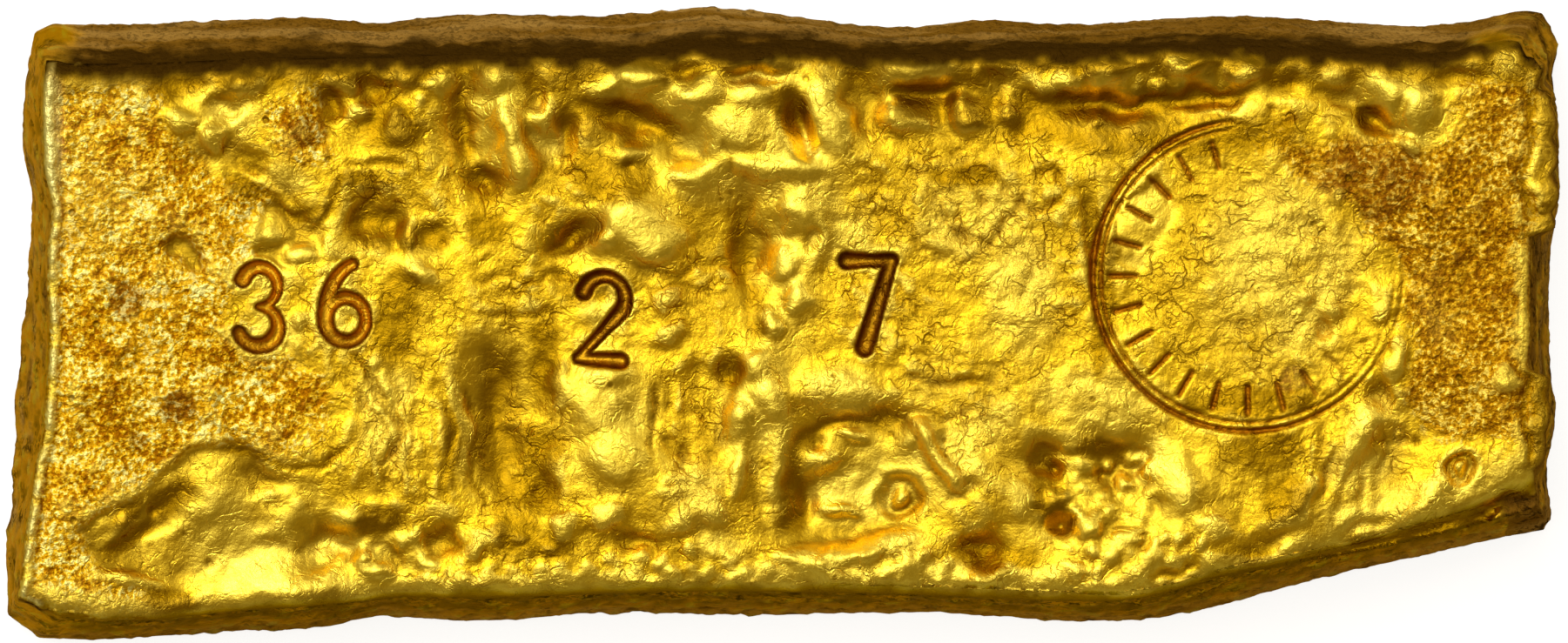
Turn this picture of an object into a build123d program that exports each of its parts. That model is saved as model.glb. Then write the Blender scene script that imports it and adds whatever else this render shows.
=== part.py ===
# A cast bar of yellow gold, poured in a tapered open mould and then punched with figures and a round die.
# It lies on its broad flat foot. +X runs along the bar, +Y across it and +Z up.
# The origin is the middle of the foot's plane, below the middle of the bar's outline.

import math
import os

from build123d import *

# Overall size of the bar, in millimetres, and the mean height of its upper face.
bar_length = 89.2
bar_width = 36.4
bar_height = 9.6

# How far each side of the upper face stands in from the widest line.
north_draft = 2.6
south_draft = 1.4
west_draft = 1.6
east_draft = 1.9

# The flank, from the foot up: its rounded lower edge, the widest line and the shoulder below the upper face.
foot_inset = 0.55
foot_turn_height = 0.4
foot_turn_inset = 0.15
belly_height = 1.3
shoulder_drop = 1.4
shoulder_share = 0.64
crown_rise = 1.2
crown_share = 1.6

# The digit punches: the size of a digit, the width of its strokes and how deep they are struck.
digit_height = 5.2
digit_width = 3.0
digit_stroke = 0.7
digit_depth = 0.5

# The round die's border, a groove, and the slant at which the die was struck, in degrees towards the west.
die_radius = 8.65
die_groove_width = 0.9
die_groove_depth = 0.42
die_slant = 1.3

# The short radial strokes inside the border.
die_tick_count = 24
die_tick_length = 1.5
die_tick_width = 0.42
die_tick_gap = 0.8

# How close together the cross-sections of the upper face and their points stand.
face_pitch = 1.1
face_margin = 1.5

# Waves of each side, from its west or south end: the place in hundredths of the side's length, how far in the
# widest line stands there, and how far out of its draft line the upper face's edge stands.
north_waves = [
    (3, 0.95, -1.25), (7, 0.98, -1.2), (14, 0.75, -0.9), (21, 0.65, -0.6), (24, 0.85, -0.5),
    (28, 0.5, -0.4), (34, 0.45, -0.5), (41, 0.35, -0.4), (45, 0.0, -0.15), (48, 0.2, 0.0),
    (52, 0.65, 0.0), (58, 1.1, -0.3), (62, 0.75, -0.2), (68, 0.95, 0.0), (73, 0.75, 0.1),
    (78, 0.5, 0.2), (85, 0.75, -0.1), (92, 1.0, -0.45), (95, 0.65, -0.3), (97, 0.3, 0.25),
    (99, 0.4, 0.4),
]
south_waves = [
    (2, 0.15, -0.1), (7, 0.0, 0.2), (14, 0.45, -0.35), (21, 0.8, -0.85), (24, 1.25, -1.1),
    (28, 1.1, -1.15), (31, 1.05, -1.15), (38, 1.5, -1.35), (44, 1.45, -1.5), (54, 1.45, -1.4),
    (61, 1.45, -1.2), (68, 1.05, -0.95), (75, 1.35, -1.3), (78, 1.9, -2.1), (85, 3.6, -3.45),
    (92, 4.95, -5.1), (96, 5.8, -6.2), (99, 6.35, -7.4),
]
west_waves = [
    (4, 0.0, 0.75), (10, 0.0, 0.35), (16, 0.0, 0.1), (22, 0.35, -0.2), (28, 0.35, -0.6),
    (32, 0.5, -1.0), (38, 0.45, -1.1), (44, 0.75, -1.2), (49, 0.85, -1.25), (54, 1.15, -1.1),
    (60, 1.2, -1.05), (66, 1.4, -1.1), (71, 1.35, -1.4), (76, 0.95, -1.1), (82, 0.9, -0.9),
    (88, 1.05, -0.75), (96, 1.6, -0.7),
]
east_waves = [
    (19, 0.6, 0.45), (22, 0.6, 0.4), (27, 0.75, 0.2), (32, 0.35, 0.15), (38, 0.3, 0.1),
    (44, 0.55, -0.1), (49, 0.6, -0.05), (54, 0.55, -0.1), (60, 0.5, -0.1), (66, 0.25, -0.2),
    (71, 0.0, -0.3), (76, 0.05, -0.4), (82, 0.05, -0.3), (88, 0.35, 0.1), (94, 0.05, 0.5),
]

# Hollows and swells of the upper face. Each row has the place, in hundredths of the bar's length and width
# from its middle, the reach along and across, the turn in degrees, how steep the sides are, and the rise.
# A hollow's rise is below zero.
face_forms = [
    # the sunken south-west corner and the scarp that bounds it
    (-35.3, -36.3, 6.6, 3.4, 18.0, 2.0, -1.0),
    (-27.5, -35.7, 5.4, 3.0, -14.0, 1.4, -0.75),
    (-42.8, -34.6, 2.2, 1.4, 35.0, 1.6, -0.45),
    # the round dish south of the middle, and the ring pool in it
    (3.7, -26.4, 4.7, 4.3, 0.0, 2.0, -0.85),
    (7.5, -28.3, 1.6, 1.7, 0.0, 1.5, -0.3),
    (1.7, -22.5, 1.6, 1.2, 0.0, 1.2, 0.35),
    # the twin dish south of the die
    (16.7, -22.8, 2.2, 1.8, 0.0, 1.5, -0.55),
    (22.4, -23.6, 3.1, 2.6, 0.0, 1.6, -0.7),
    (18.2, -31.9, 1.8, 2.0, 0.0, 1.4, -0.45),
    (22.0, -37.1, 4.0, 1.6, 0.0, 1.3, 0.35),
    (13.0, -36.8, 2.0, 1.0, 15.0, 1.4, -0.6),
    # the two runs of the north-west channel, with the ridge between them
    (-19.7, 31.0, 2.2, 4.6, 8.0, 1.6, -0.8),
    (-14.8, 29.9, 1.5, 3.0, 14.0, 1.5, -0.6),
    (-17.4, 29.7, 0.9, 3.8, 14.0, 1.3, 0.55),
    (-27.8, 34.6, 2.4, 2.6, 0.0, 1.5, -0.5),
    # the big swell north of the middle, the pocket in it and the flat step below it
    (-0.9, 30.2, 6.4, 4.2, -12.0, 1.6, 0.75),
    (1.5, 31.3, 1.0, 2.4, 12.0, 1.5, -0.7),
    (-8.1, 29.1, 3.0, 1.9, -20.0, 1.5, -0.85),
    (-2.5, 14.3, 3.0, 4.0, 0.0, 1.6, -0.6),
    # the lump in the middle of the bar with the gully west of it
    (-9.6, 15.4, 2.2, 1.9, -25.0, 1.3, 0.8),
    (-13.8, 12.1, 1.5, 2.2, -30.0, 1.5, -0.65),
    # the long trough west of the middle, and the swell beside it
    (-17.5, -14.8, 2.4, 5.2, -8.0, 1.6, -0.8),
    (-9.6, -20.3, 3.2, 4.0, 10.0, 1.5, 0.5),
    (-1.6, -12.1, 1.6, 4.4, -6.0, 1.4, 0.55),
    # the sag along the north edge and the runs that cross it
    (11.8, 34.1, 6.0, 2.4, 0.0, 1.6, -0.85),
    (9.2, 39.0, 2.8, 0.7, -3.0, 1.3, 0.5),
    (7.8, 32.1, 2.0, 0.7, -12.0, 1.3, 0.5),
    (12.7, 33.0, 0.8, 2.2, 22.0, 1.3, 0.5),
    (23.0, 34.6, 4.6, 1.5, 4.0, 1.5, -0.65),
    (38.1, 33.0, 2.6, 1.8, -10.0, 1.5, -0.5),
    (39.9, 33.5, 1.2, 1.9, -20.0, 1.3, 0.5),
    # pockets and lumps near the west figures
    (-32.1, 16.5, 2.0, 1.6, 0.0, 1.4, -0.5),
    (-25.3, 17.0, 3.0, 1.6, 15.0, 1.4, -0.4),
    (-36.8, 25.3, 1.6, 1.5, 0.0, 1.4, -0.35),
    (-38.3, 11.3, 1.2, 0.8, -30.0, 2.0, -0.4),
    # the smeared pockets south-east of the die
    (37.0, -28.6, 2.4, 4.4, -30.0, 1.5, -0.5),
    (39.6, -19.8, 1.1, 2.6, -24.0, 1.4, -0.4),
    (43.2, -23.1, 1.1, 0.9, 0.0, 1.4, -0.45),
    # the folded south-east corner
    (47.7, -29.1, 3.6, 1.3, 30.0, 1.4, -1.1),
    # the sinking of the field inside the die's border
    (30.3, 5.5, 6.6, 6.6, 0.0, 2.0, -0.2),
]

# The digits and their places, in hundredths of the bar's length and width from its middle, then their turn in
# degrees and their size as a share of the punch's.
digit_marks = [
    ("three", -33.5, 2.6, -2, 1.0),
    ("six", -28.0, 3.3, 3, 1.0),
    ("two", -11.5, 0.8, -4, 1.06),
    ("seven", 5.5, 3.0, 0, 1.1),
]

# The middle of the round die, in the same hundredths.
die_place = (29.7, 7.4)


def place_on_bar(along, across):
    """The x and y of a place given in hundredths of the bar's length and width."""
    return along * bar_length / 100, across * bar_width / 100


def face_height(x, y):
    """The height of the upper face above the foot, before anything is punched in it."""
    height = bar_height
    for along, across, reach_along, reach_across, turn, steepness, rise in face_forms:
        form_x, form_y = place_on_bar(along, across)
        angle = math.radians(turn)
        u = ((x - form_x) * math.cos(angle) + (y - form_y) * math.sin(angle)) / reach_along
        v = ((y - form_y) * math.cos(angle) - (x - form_x) * math.sin(angle)) / reach_across
        height += rise * math.exp(-((u * u + v * v) ** steepness))
    return height


def waved_side(waves, start, run, edge, inset, draft, share):
    """Points of one side: the distance along it and the distance out from the bar's middle."""
    points = []
    for place, belly_in, crown_out in waves:
        out = edge - inset - share * draft - (1 - share) * belly_in + share * crown_out
        points.append((start + run * place / 100, out))
    return points


def outline_sides(inset, share):
    """The four sides of the bar's outline, clockwise from the north-west, at one share of the draft."""
    west_end = -bar_length / 2 + inset + share * west_draft
    south_end = -bar_width / 2 + inset + share * south_draft
    run_along = bar_length / 2 - inset - share * east_draft - west_end
    run_across = bar_width / 2 - inset - share * north_draft - south_end
    north = waved_side(north_waves, west_end, run_along, bar_width / 2, inset, north_draft, share)
    east = waved_side(east_waves, south_end, run_across, bar_length / 2, inset, east_draft, share)
    south = waved_side(south_waves, west_end, run_along, bar_width / 2, inset, south_draft, share)
    west = waved_side(west_waves, south_end, run_across, bar_length / 2, inset, west_draft, share)
    return [
        north,
        [(out, along) for along, out in reversed(east)],
        [(along, -out) for along, out in reversed(south)],
        [(-out, along) for along, out in west],
    ]


def upper_face():
    """The upper face before punching: one surface lofted through cross-sections of the bar."""
    columns = math.ceil((bar_length + 2 * face_margin) / face_pitch)
    rows = math.ceil((bar_width + 2 * face_margin) / face_pitch)
    shares = [row / rows for row in range(rows + 1)]
    sections = []
    for column in range(columns + 1):
        x = (column / columns - 0.5) * (bar_length + 2 * face_margin)
        y_values = [(share - 0.5) * (bar_width + 2 * face_margin) for share in shares]
        points = [(x, y, face_height(x, y)) for y in y_values]
        sections.append(Wire([Edge.make_spline(points, parameters=shares)]))
    return Shell.make_loft(sections).face()


def digit_three(width, height):
    """The centre line of a 3: two bowls that meet in the middle."""
    bowl = height / 4
    EllipticalCenterArc((0, bowl), width / 2, bowl, start_angle=160, arc_size=-250)
    EllipticalCenterArc((0, -bowl), width / 2, bowl, start_angle=90, arc_size=-250)


def digit_six(width, height):
    """The centre line of a 6: a closed bowl and a tail that rises from its west side."""
    bowl = height * 0.28
    bowl_middle = bowl - height / 2
    EllipticalCenterArc((0, bowl_middle), width / 2, bowl, start_angle=180, arc_size=360)
    tail_radius = height / 2 - bowl_middle
    EllipticalCenterArc((width / 2, bowl_middle), width, tail_radius, start_angle=180, arc_size=-75)


def digit_two(width, height):
    """The centre line of a 2: a bowl, a slanting stroke and a foot."""
    bowl = height * 0.27
    top = EllipticalCenterArc((0, height / 2 - bowl), width / 2, bowl, start_angle=165, arc_size=-195)
    Polyline(top @ 1, (-width / 2, -height / 2), (width / 2, -height / 2))


def digit_seven(width, height):
    """The centre line of a 7: a bar and a slanting stroke."""
    Polyline((-width / 2, height / 2), (width / 2, height / 2), (-width * 0.1, -height / 2))


digit_lines = {"three": digit_three, "six": digit_six, "two": digit_two, "seven": digit_seven}

# The levels of the flank: the height, the foot's inset there and the share of the draft.
flank_levels = [
    (0, foot_inset, 0),
    (foot_turn_height, foot_turn_inset, 0),
    (belly_height, 0, 0),
    (bar_height - shoulder_drop, 0, shoulder_share),
    (bar_height, 0, 1),
    (bar_height + crown_rise, 0, crown_share),
]

# The die's own plane lies on the upper face and leans down towards the west.
die_x, die_y = place_on_bar(*die_place)
die_lean = math.radians(die_slant)
die_plane = Plane(
    origin=(die_x, die_y, face_height(die_x, die_y)),
    x_dir=(math.cos(die_lean), 0, math.sin(die_lean)),
    z_dir=(-math.sin(die_lean), 0, math.cos(die_lean)),
)
die_groove_plane = Plane(origin=die_plane.origin, x_dir=die_plane.x_dir, z_dir=-die_plane.y_dir)

with BuildPart() as waste:
    extrude(upper_face(), amount=bar_height, dir=(0, 0, 1))

with BuildPart() as ingot:
    for level_height, level_inset, level_share in flank_levels:
        with BuildSketch(Plane.XY.offset(level_height)):
            with BuildLine():
                sides = outline_sides(level_inset, level_share)
                for side, next_side in zip(sides, sides[1:] + sides[:1]):
                    Spline(*side)
                    Line(side[-1], next_side[0])
            make_face()
    loft()
    add(waste.part, mode=Mode.SUBTRACT)

    # The digits, each struck to its depth below the face at its middle.
    for digit, along, across, turn, size in digit_marks:
        x, y = place_on_bar(along, across)
        floor = Plane(origin=(x, y, face_height(x, y) - digit_depth)).rotated((0, 0, turn))
        with BuildSketch(floor):
            with BuildLine() as centre_line:
                digit_lines[digit](size * (digit_width - digit_stroke), size * (digit_height - digit_stroke))
            for edge in centre_line.edges():
                trace(edge, line_width=digit_stroke)
                with Locations(edge @ 0, edge @ 1):
                    Circle(digit_stroke / 2)
        extrude(amount=digit_depth + crown_rise, mode=Mode.SUBTRACT)

    # The die's border.
    with BuildSketch(die_groove_plane):
        with BuildLine():
            Polyline(
                (die_radius, -die_groove_depth),
                (die_radius + die_groove_width, die_groove_depth),
                (die_radius - die_groove_width, die_groove_depth),
                close=True,
            )
        make_face()
    revolve(axis=Axis(die_plane.origin, die_plane.z_dir), mode=Mode.SUBTRACT)

    # The strokes inside the border.
    with BuildSketch(die_plane.offset(-die_groove_depth)):
        with PolarLocations(die_radius - die_tick_gap - die_tick_length / 2, die_tick_count):
            Rectangle(die_tick_length, die_tick_width)
    extrude(amount=die_groove_depth + crown_rise, mode=Mode.SUBTRACT)

ingot.part.label = "ingot"

os.makedirs("parts", exist_ok=True)
export_step(ingot.part, "parts/ingot.step")
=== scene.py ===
import math

import bmesh
import bpy
import numpy as np
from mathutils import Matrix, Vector
from mathutils.bvhtree import BVHTree


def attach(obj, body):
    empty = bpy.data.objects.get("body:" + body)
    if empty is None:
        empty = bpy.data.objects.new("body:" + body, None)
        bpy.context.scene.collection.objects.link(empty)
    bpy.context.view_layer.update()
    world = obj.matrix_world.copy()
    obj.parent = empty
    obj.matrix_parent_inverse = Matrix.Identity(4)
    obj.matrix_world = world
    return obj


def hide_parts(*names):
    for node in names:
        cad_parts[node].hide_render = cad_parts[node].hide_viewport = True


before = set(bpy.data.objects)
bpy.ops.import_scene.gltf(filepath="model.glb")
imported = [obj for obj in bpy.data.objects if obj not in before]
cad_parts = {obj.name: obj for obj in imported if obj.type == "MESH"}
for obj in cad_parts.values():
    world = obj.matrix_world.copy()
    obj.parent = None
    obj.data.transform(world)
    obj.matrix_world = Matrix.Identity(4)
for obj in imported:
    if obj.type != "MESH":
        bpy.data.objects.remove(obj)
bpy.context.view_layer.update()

# Sizes and places are millimetres in the frame's own axes, and angles are degrees.
mm = 0.001
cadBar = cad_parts["ingot"]

# How the bar's mesh is laid out. Its upper face is a grid between four corners, and rays from the outer
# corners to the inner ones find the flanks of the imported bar.
barLayout = {
    "outerCorners": [(-47.5, -21.0), (48.0, -18.5), (47.5, 20.5), (-46.0, 20.5)],
    "innerCorners": [(-36.0, -9.0), (36.5, -4.0), (36.5, 9.5), (-35.5, 9.5)],
    "columnsAlong": 404,
    "columnsAcross": 150,
    "bellyHeight": 1.3,
    "upperHeight": 7.2,
    "rimHeight": 9.0,
    "endFrom": 40.5,
    "upperShare": 0.547,
    "footRows": [(0.0, 0.62), (0.12, 0.4), (0.4, 0.16), (0.8, 0.04)],
    "flankRows": 12,
    "footRings": [1.0, 4.0],
    "edgeFillet": {"north": 1.1, "south": 1.25, "west": 0.35, "east": 0.5},
    "reliefPitch": 0.1,
    "reliefReach": (46.0, 19.5),
    "basePitch": 0.35,
    "softTop": 10.05,
    "topRoom": 0.5,
}

# Flash that ran over the east edge: from y, to y, and how far it reaches towards the widest line.
eastPlates = [(4.9, 13.3, 0.85), (-8.4, -2.6, 0.65)]

# Hollows and swells: x, y, reach along, reach across and rise, then the turn if it isn't 0, and the
# steepness if it isn't 1.5.
reliefForms = [
    # lumps and pockets of the north-west
    (-34.3, 11.6, 0.9, 0.55, 0.35, -20), (-32.5, 10.6, 0.85, 0.85, 0.5, 0, 2.0),
    (-31.6, 12.5, 1.1, 0.6, -0.35, 15), (-30.7, 13.5, 1.0, 0.7, 0.4, 20), (-34.2, 13.6, 1.5, 0.8, -0.3),
    (-30.6, 9.2, 1.4, 0.7, -0.3, -42), (-25.0, 13.5, 1.0, 0.8, 0.45), (-24.5, 12.0, 0.7, 0.6, 0.35),
    (-25.9, 12.6, 0.7, 0.9, -0.4), (-23.2, 13.3, 1.2, 0.8, -0.4), (-21.4, 14.2, 0.6, 0.5, 0.3),
    (-22.0, 11.0, 0.9, 0.7, 0.25), (-29.2, 5.4, 1.2, 0.9, 0.4, 20, 1.6), (-27.4, 3.9, 0.9, 0.7, 0.35),
    (-24.0, 6.2, 0.8, 1.3, -0.35, -20), (-22.8, 5.6, 1.4, 1.0, -0.35, 10, 1.6),
    (-19.9, 4.9, 1.1, 0.85, -0.3, 0, 1.6), (-21.3, 5.2, 0.4, 1.1, 0.3, -15),
    (-20.6, 3.0, 1.3, 0.6, 0.3, -30), (-27.6, 0.1, 0.6, 0.5, 0.3),
    # the channel runs
    (-18.5, 11.0, 0.9, 2.4, -0.25, 6, 1.2), (-16.7, 14.1, 1.1, 0.8, 0.5),
    (-16.4, 11.4, 1.6, 3.0, 0.25, 12, 1.2), (-15.5, 11.2, 0.7, 1.8, 0.5, 10), (-14.9, 8.9, 0.8, 0.9, 0.5),
    (-14.2, 13.2, 0.6, 0.9, -0.2), (-13.5, 11.8, 0.7, 1.0, 0.5), (-12.4, 10.8, 0.6, 1.2, -0.35),
    (-19.4, 13.6, 0.7, 0.6, 0.3), (-17.0, 8.2, 1.0, 0.8, -0.3),
    # the dark hollow and the lumps round it
    (-8.9, 11.8, 2.2, 0.9, -0.55, -15), (-8.1, 13.9, 1.6, 0.7, 0.5, 5), (-4.8, 13.1, 1.2, 0.7, 0.45),
    (-5.6, 14.5, 1.1, 0.45, -0.35), (-10.4, 13.2, 0.8, 0.7, 0.3), (-8.6, 9.8, 0.8, 0.6, 0.35),
    (-5.6, 10.2, 1.6, 1.2, -0.3, -20), (-5.2, 8.4, 1.2, 0.8, 0.3),
    # the big swell's own lumps
    (-1.5, 14.9, 1.6, 0.55, 0.5, 6, 1.6), (-1.4, 14.1, 1.7, 0.35, -0.45, 8, 1.3),
    (-1.6, 13.0, 0.9, 0.5, 0.35), (2.4, 12.1, 1.2, 2.2, 0.5, 18, 1.6),
    (0.9, 11.2, 0.7, 1.5, -0.55, 15, 1.6), (4.6, 12.4, 0.9, 2.0, -0.4, 15),
    (-2.4, 11.0, 1.2, 0.9, 0.3, -20), (-0.4, 8.9, 2.8, 0.65, 0.45, -3, 1.4),
    (1.7, 5.0, 0.9, 2.2, 0.35, 0, 1.8), (-2.1, 4.2, 0.9, 3.2, -0.45, 4, 1.3), (0.5, 6.2, 0.9, 1.0, 0.45),
    (0.2, 3.7, 0.9, 1.1, 0.4, -10), (0.9, 1.3, 0.7, 1.1, 0.35), (1.6, 4.8, 0.5, 0.8, -0.3),
    (-0.6, 0.0, 0.7, 0.9, 0.3), (-1.5, -2.4, 0.9, 0.8, 0.4), (-0.6, -4.4, 0.8, 1.2, 0.5, 10),
    (-2.5, -5.4, 0.7, 1.0, 0.4), (-3.0, -2.9, 0.7, 1.2, -0.45), (-2.6, -8.8, 0.5, 1.6, 0.3, -8),
    # the middle lump and its gully
    (-8.8, 5.9, 1.3, 1.2, 0.5, -20, 1.4), (-7.8, 4.3, 1.1, 0.8, 0.4), (-6.6, 4.6, 1.4, 1.4, 0.35),
    (-10.2, 4.6, 0.6, 0.6, 0.35), (-11.9, 5.0, 1.5, 0.7, -0.55, 40), (-6.6, 1.4, 0.9, 0.8, 0.35),
    (-6.6, -0.6, 1.2, 0.6, 0.3, 20),
    # the swell west of the middle and the trough beside it
    (-10.6, -4.4, 1.6, 1.8, 0.4), (-9.4, -7.6, 1.5, 1.4, 0.45), (-10.0, -2.7, 1.2, 0.7, 0.3),
    (-12.6, -3.4, 0.7, 1.4, 0.35), (-16.9, -3.6, 1.4, 2.4, -0.4, -6), (-16.2, -7.4, 1.3, 2.2, -0.4, -4),
    (-13.9, -9.6, 1.1, 1.2, -0.4), (-12.4, -11.5, 0.9, 0.8, 0.4), (-10.0, -11.0, 1.1, 0.8, 0.45, 10),
    (-8.0, -12.6, 1.3, 0.6, -0.4), (-5.2, -9.8, 2.4, 2.0, 0.3), (-5.2, -5.2, 2.15, 3.0, -0.2, 0, 7),
    (-5.8, -11.4, 0.8, 0.6, 0.3), (-4.0, -10.6, 0.7, 0.9, 0.3), (-19.4, -12.6, 1.2, 0.8, -0.45, -20),
    (-21.6, -12.4, 0.9, 0.7, 0.35), (-23.6, -13.8, 1.0, 0.8, 0.4), (-16.6, -12.2, 1.2, 0.8, 0.3),
    # inside the sunken south-west corner
    (-29.6, -11.2, 4.4, 2.2, 0.55, -5), (-24.6, -11.0, 2.2, 1.2, 0.3, -15),
    (-35.4, -10.9, 1.8, 0.9, -0.35, 38), (-28.4, -14.8, 3.6, 1.5, 0.55, 2),
    (-37.8, -11.6, 1.0, 0.5, 0.3, 40), (-29.6, -9.0, 1.3, 0.7, -0.3, -20),
    (-28.2, -11.4, 1.6, 1.0, 0.3, 20), (-26.0, -12.6, 1.1, 0.9, -0.2),
    (-37.0, -14.6, 1.6, 0.35, 0.35, -22, 1.6),
    # the round dish
    (2.3, -7.8, 0.8, 0.75, 0.5), (4.0, -6.4, 0.9, 0.3, 0.35, -25), (3.3, -10.7, 1.2, 0.35, 0.35, -15),
    (0.9, -9.6, 1.0, 1.8, -0.5, 10), (4.8, -12.8, 2.8, 0.7, 0.5, 10, 1.6),
    (1.2, -13.4, 1.6, 0.6, 0.35, -10), (9.0, -7.8, 2.4, 0.4, 0.55, -52, 2.0), (7.8, -6.4, 1.2, 0.9, 0.3),
    (10.4, -9.6, 1.0, 0.7, -0.3), (3.4, -3.9, 3.0, 1.1, 0.35, -4, 1.4), (0.2, -8.4, 1.3, 2.8, 0.45, 0, 2),
    (11.2, -9.2, 2.0, 2.0, 0.35, 0, 1.8), (4.4, -13.9, 3.0, 1.0, 0.35, 5),
    # the twin dish
    (18.9, -8.1, 1.6, 1.4, -0.55, 0, 1.6), (19.3, -9.0, 0.5, 0.4, 0.45), (18.4, -8.3, 0.35, 0.3, 0.3),
    (15.2, -7.9, 0.9, 1.1, -0.5), (22.4, -9.2, 1.3, 2.4, 0.5, 24, 1.6), (24.6, -11.6, 1.0, 0.8, 0.35),
    (15.8, -11.6, 0.8, 0.7, -0.55), (17.5, -11.5, 0.9, 0.9, 0.4), (19.6, -12.4, 0.8, 0.6, 0.3),
    (11.4, -12.8, 1.5, 0.8, -0.55, 5), (11.6, -14.4, 1.3, 0.5, 0.5, 5), (13.6, -9.8, 0.9, 1.4, 0.3),
    (22.4, -14.2, 1.3, 0.5, -0.4, 8),
    # runs along the north edge and the sag between them
    (7.5, 14.3, 1.7, 0.65, 0.65, -4), (6.9, 11.7, 1.5, 0.8, 0.55, -10, 1.4),
    (10.5, 12.0, 0.8, 1.2, 0.55, 28, 1.4), (12.9, 12.2, 0.8, 0.9, 0.5, 0, 1.4),
    (12.2, 14.5, 0.7, 0.4, 0.4, 0, 1.6), (8.6, 13.2, 2.2, 0.5, -0.35, -4, 1.4), (15.4, 13.8, 1.2, 0.6, 0.3),
    (18.5, 14.4, 1.3, 0.7, 0.45), (23.3, 14.7, 1.5, 0.6, 0.4, 5), (26.5, 14.4, 1.0, 0.6, 0.45),
    (18.6, 12.4, 2.8, 0.7, -0.6, -4, 1.6), (24.0, 12.9, 2.6, 0.6, -0.5, 4, 1.6),
    (18.1, 11.6, 0.5, 0.45, 0.35), (29.0, 13.6, 1.4, 0.8, -0.3),
    # lumps and hollows of the north-east
    (34.5, 13.2, 1.0, 1.1, 0.5), (36.4, 12.3, 0.9, 1.4, 0.45), (33.8, 11.5, 1.4, 0.55, -0.55, -25),
    (35.7, 10.1, 0.5, 0.4, 0.35), (31.6, 13.0, 1.2, 0.8, -0.35, -10), (38.6, 14.0, 1.6, 0.6, -0.3),
    # the smears and pits of the south-east
    (32.5, -7.0, 0.8, 2.2, 0.4, -30), (31.2, -8.6, 0.45, 2.0, -0.25, -30),
    (29.6, -10.2, 0.9, 1.8, 0.35, -30), (34.0, -4.0, 0.7, 1.0, -0.35), (35.0, -2.0, 0.6, 1.2, 0.3, -10),
    (37.0, -9.8, 0.7, 1.6, 0.3, -32), (41.0, -3.2, 0.8, 0.7, 0.4), (41.8, -10.8, 1.9, 0.6, 0.4, 26),
    (27.4, -12.6, 1.6, 0.7, -0.35, 20), (33.4, -11.6, 1.4, 0.5, -0.3, 18),
    # the die's field
    (20.3, 5.8, 1.2, 1.8, 0.2, -15, 1.8), (29.8, 1.3, 0.5, 0.45, 0.3), (30.9, -0.3, 0.55, 0.45, -0.35, -30),
    (31.4, 0.4, 0.5, 0.5, 0.3), (34.0, 1.4, 1.0, 1.2, 0.25),
]

# Round pits with a raised rim and a small dome: x, y, radius, depth, dome.
ringPits = [
    (6.7, -9.9, 1.35, 0.35, 0.35), (38.7, -8.3, 0.95, 0.4, 0.35), (35.2, -6.4, 0.6, 0.25, 0.15),
    (20.5, -8.0, 0.6, 0.3, 0.2), (20.6, -12.6, 0.6, 0.25, 0.1), (-18.6, -12.6, 0.4, 0.2, 0.1),
    (-37.3, -2.3, 0.6, 0.14, 0.1), (43.3, 6.3, 0.65, 0.16, 0.12),
]

# Smooth sunken areas: depth, softness of the border, how much softer it is to the south-east, and outline.
sunkenAreas = [
    (0.3, 0.35, 1.4, [
        (-40.3, -11.8), (-38.5, -10.7), (-36.7, -9.8), (-35.2, -8.4), (-33.5, -7.3), (-31.9, -6.8),
        (-30.5, -7.0), (-29.9, -7.8), (-28.5, -8.7), (-26.8, -9.0), (-25.2, -10.4), (-22.5, -11.2),
        (-19.7, -12.2), (-19.5, -13.9), (-23.0, -15.0), (-28.5, -15.5), (-32.5, -15.6), (-35.5, -15.2),
        (-37.0, -14.2), (-38.6, -13.7), (-39.7, -12.9),
    ]),
    (0.3, 0.16, 0.3, [(-29.8, 6.6), (-27.2, 6.6), (-25.9, 5.2), (-26.6, 3.2), (-28.6, 2.8), (-29.9, 4.0)]),
    (0.32, 0.14, 0.1, [
        (-35.3, 4.4), (-34.6, 4.9), (-33.7, 4.4), (-33.1, 3.5), (-33.3, 3.0), (-34.1, 3.2), (-35.0, 3.8),
    ]),
    (0.2, 0.14, 0.2, [(18.9, 6.8), (21.4, 8.4), (22.4, 6.6), (21.6, 4.6), (20.4, 3.2), (18.9, 3.6)]),
]

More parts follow.
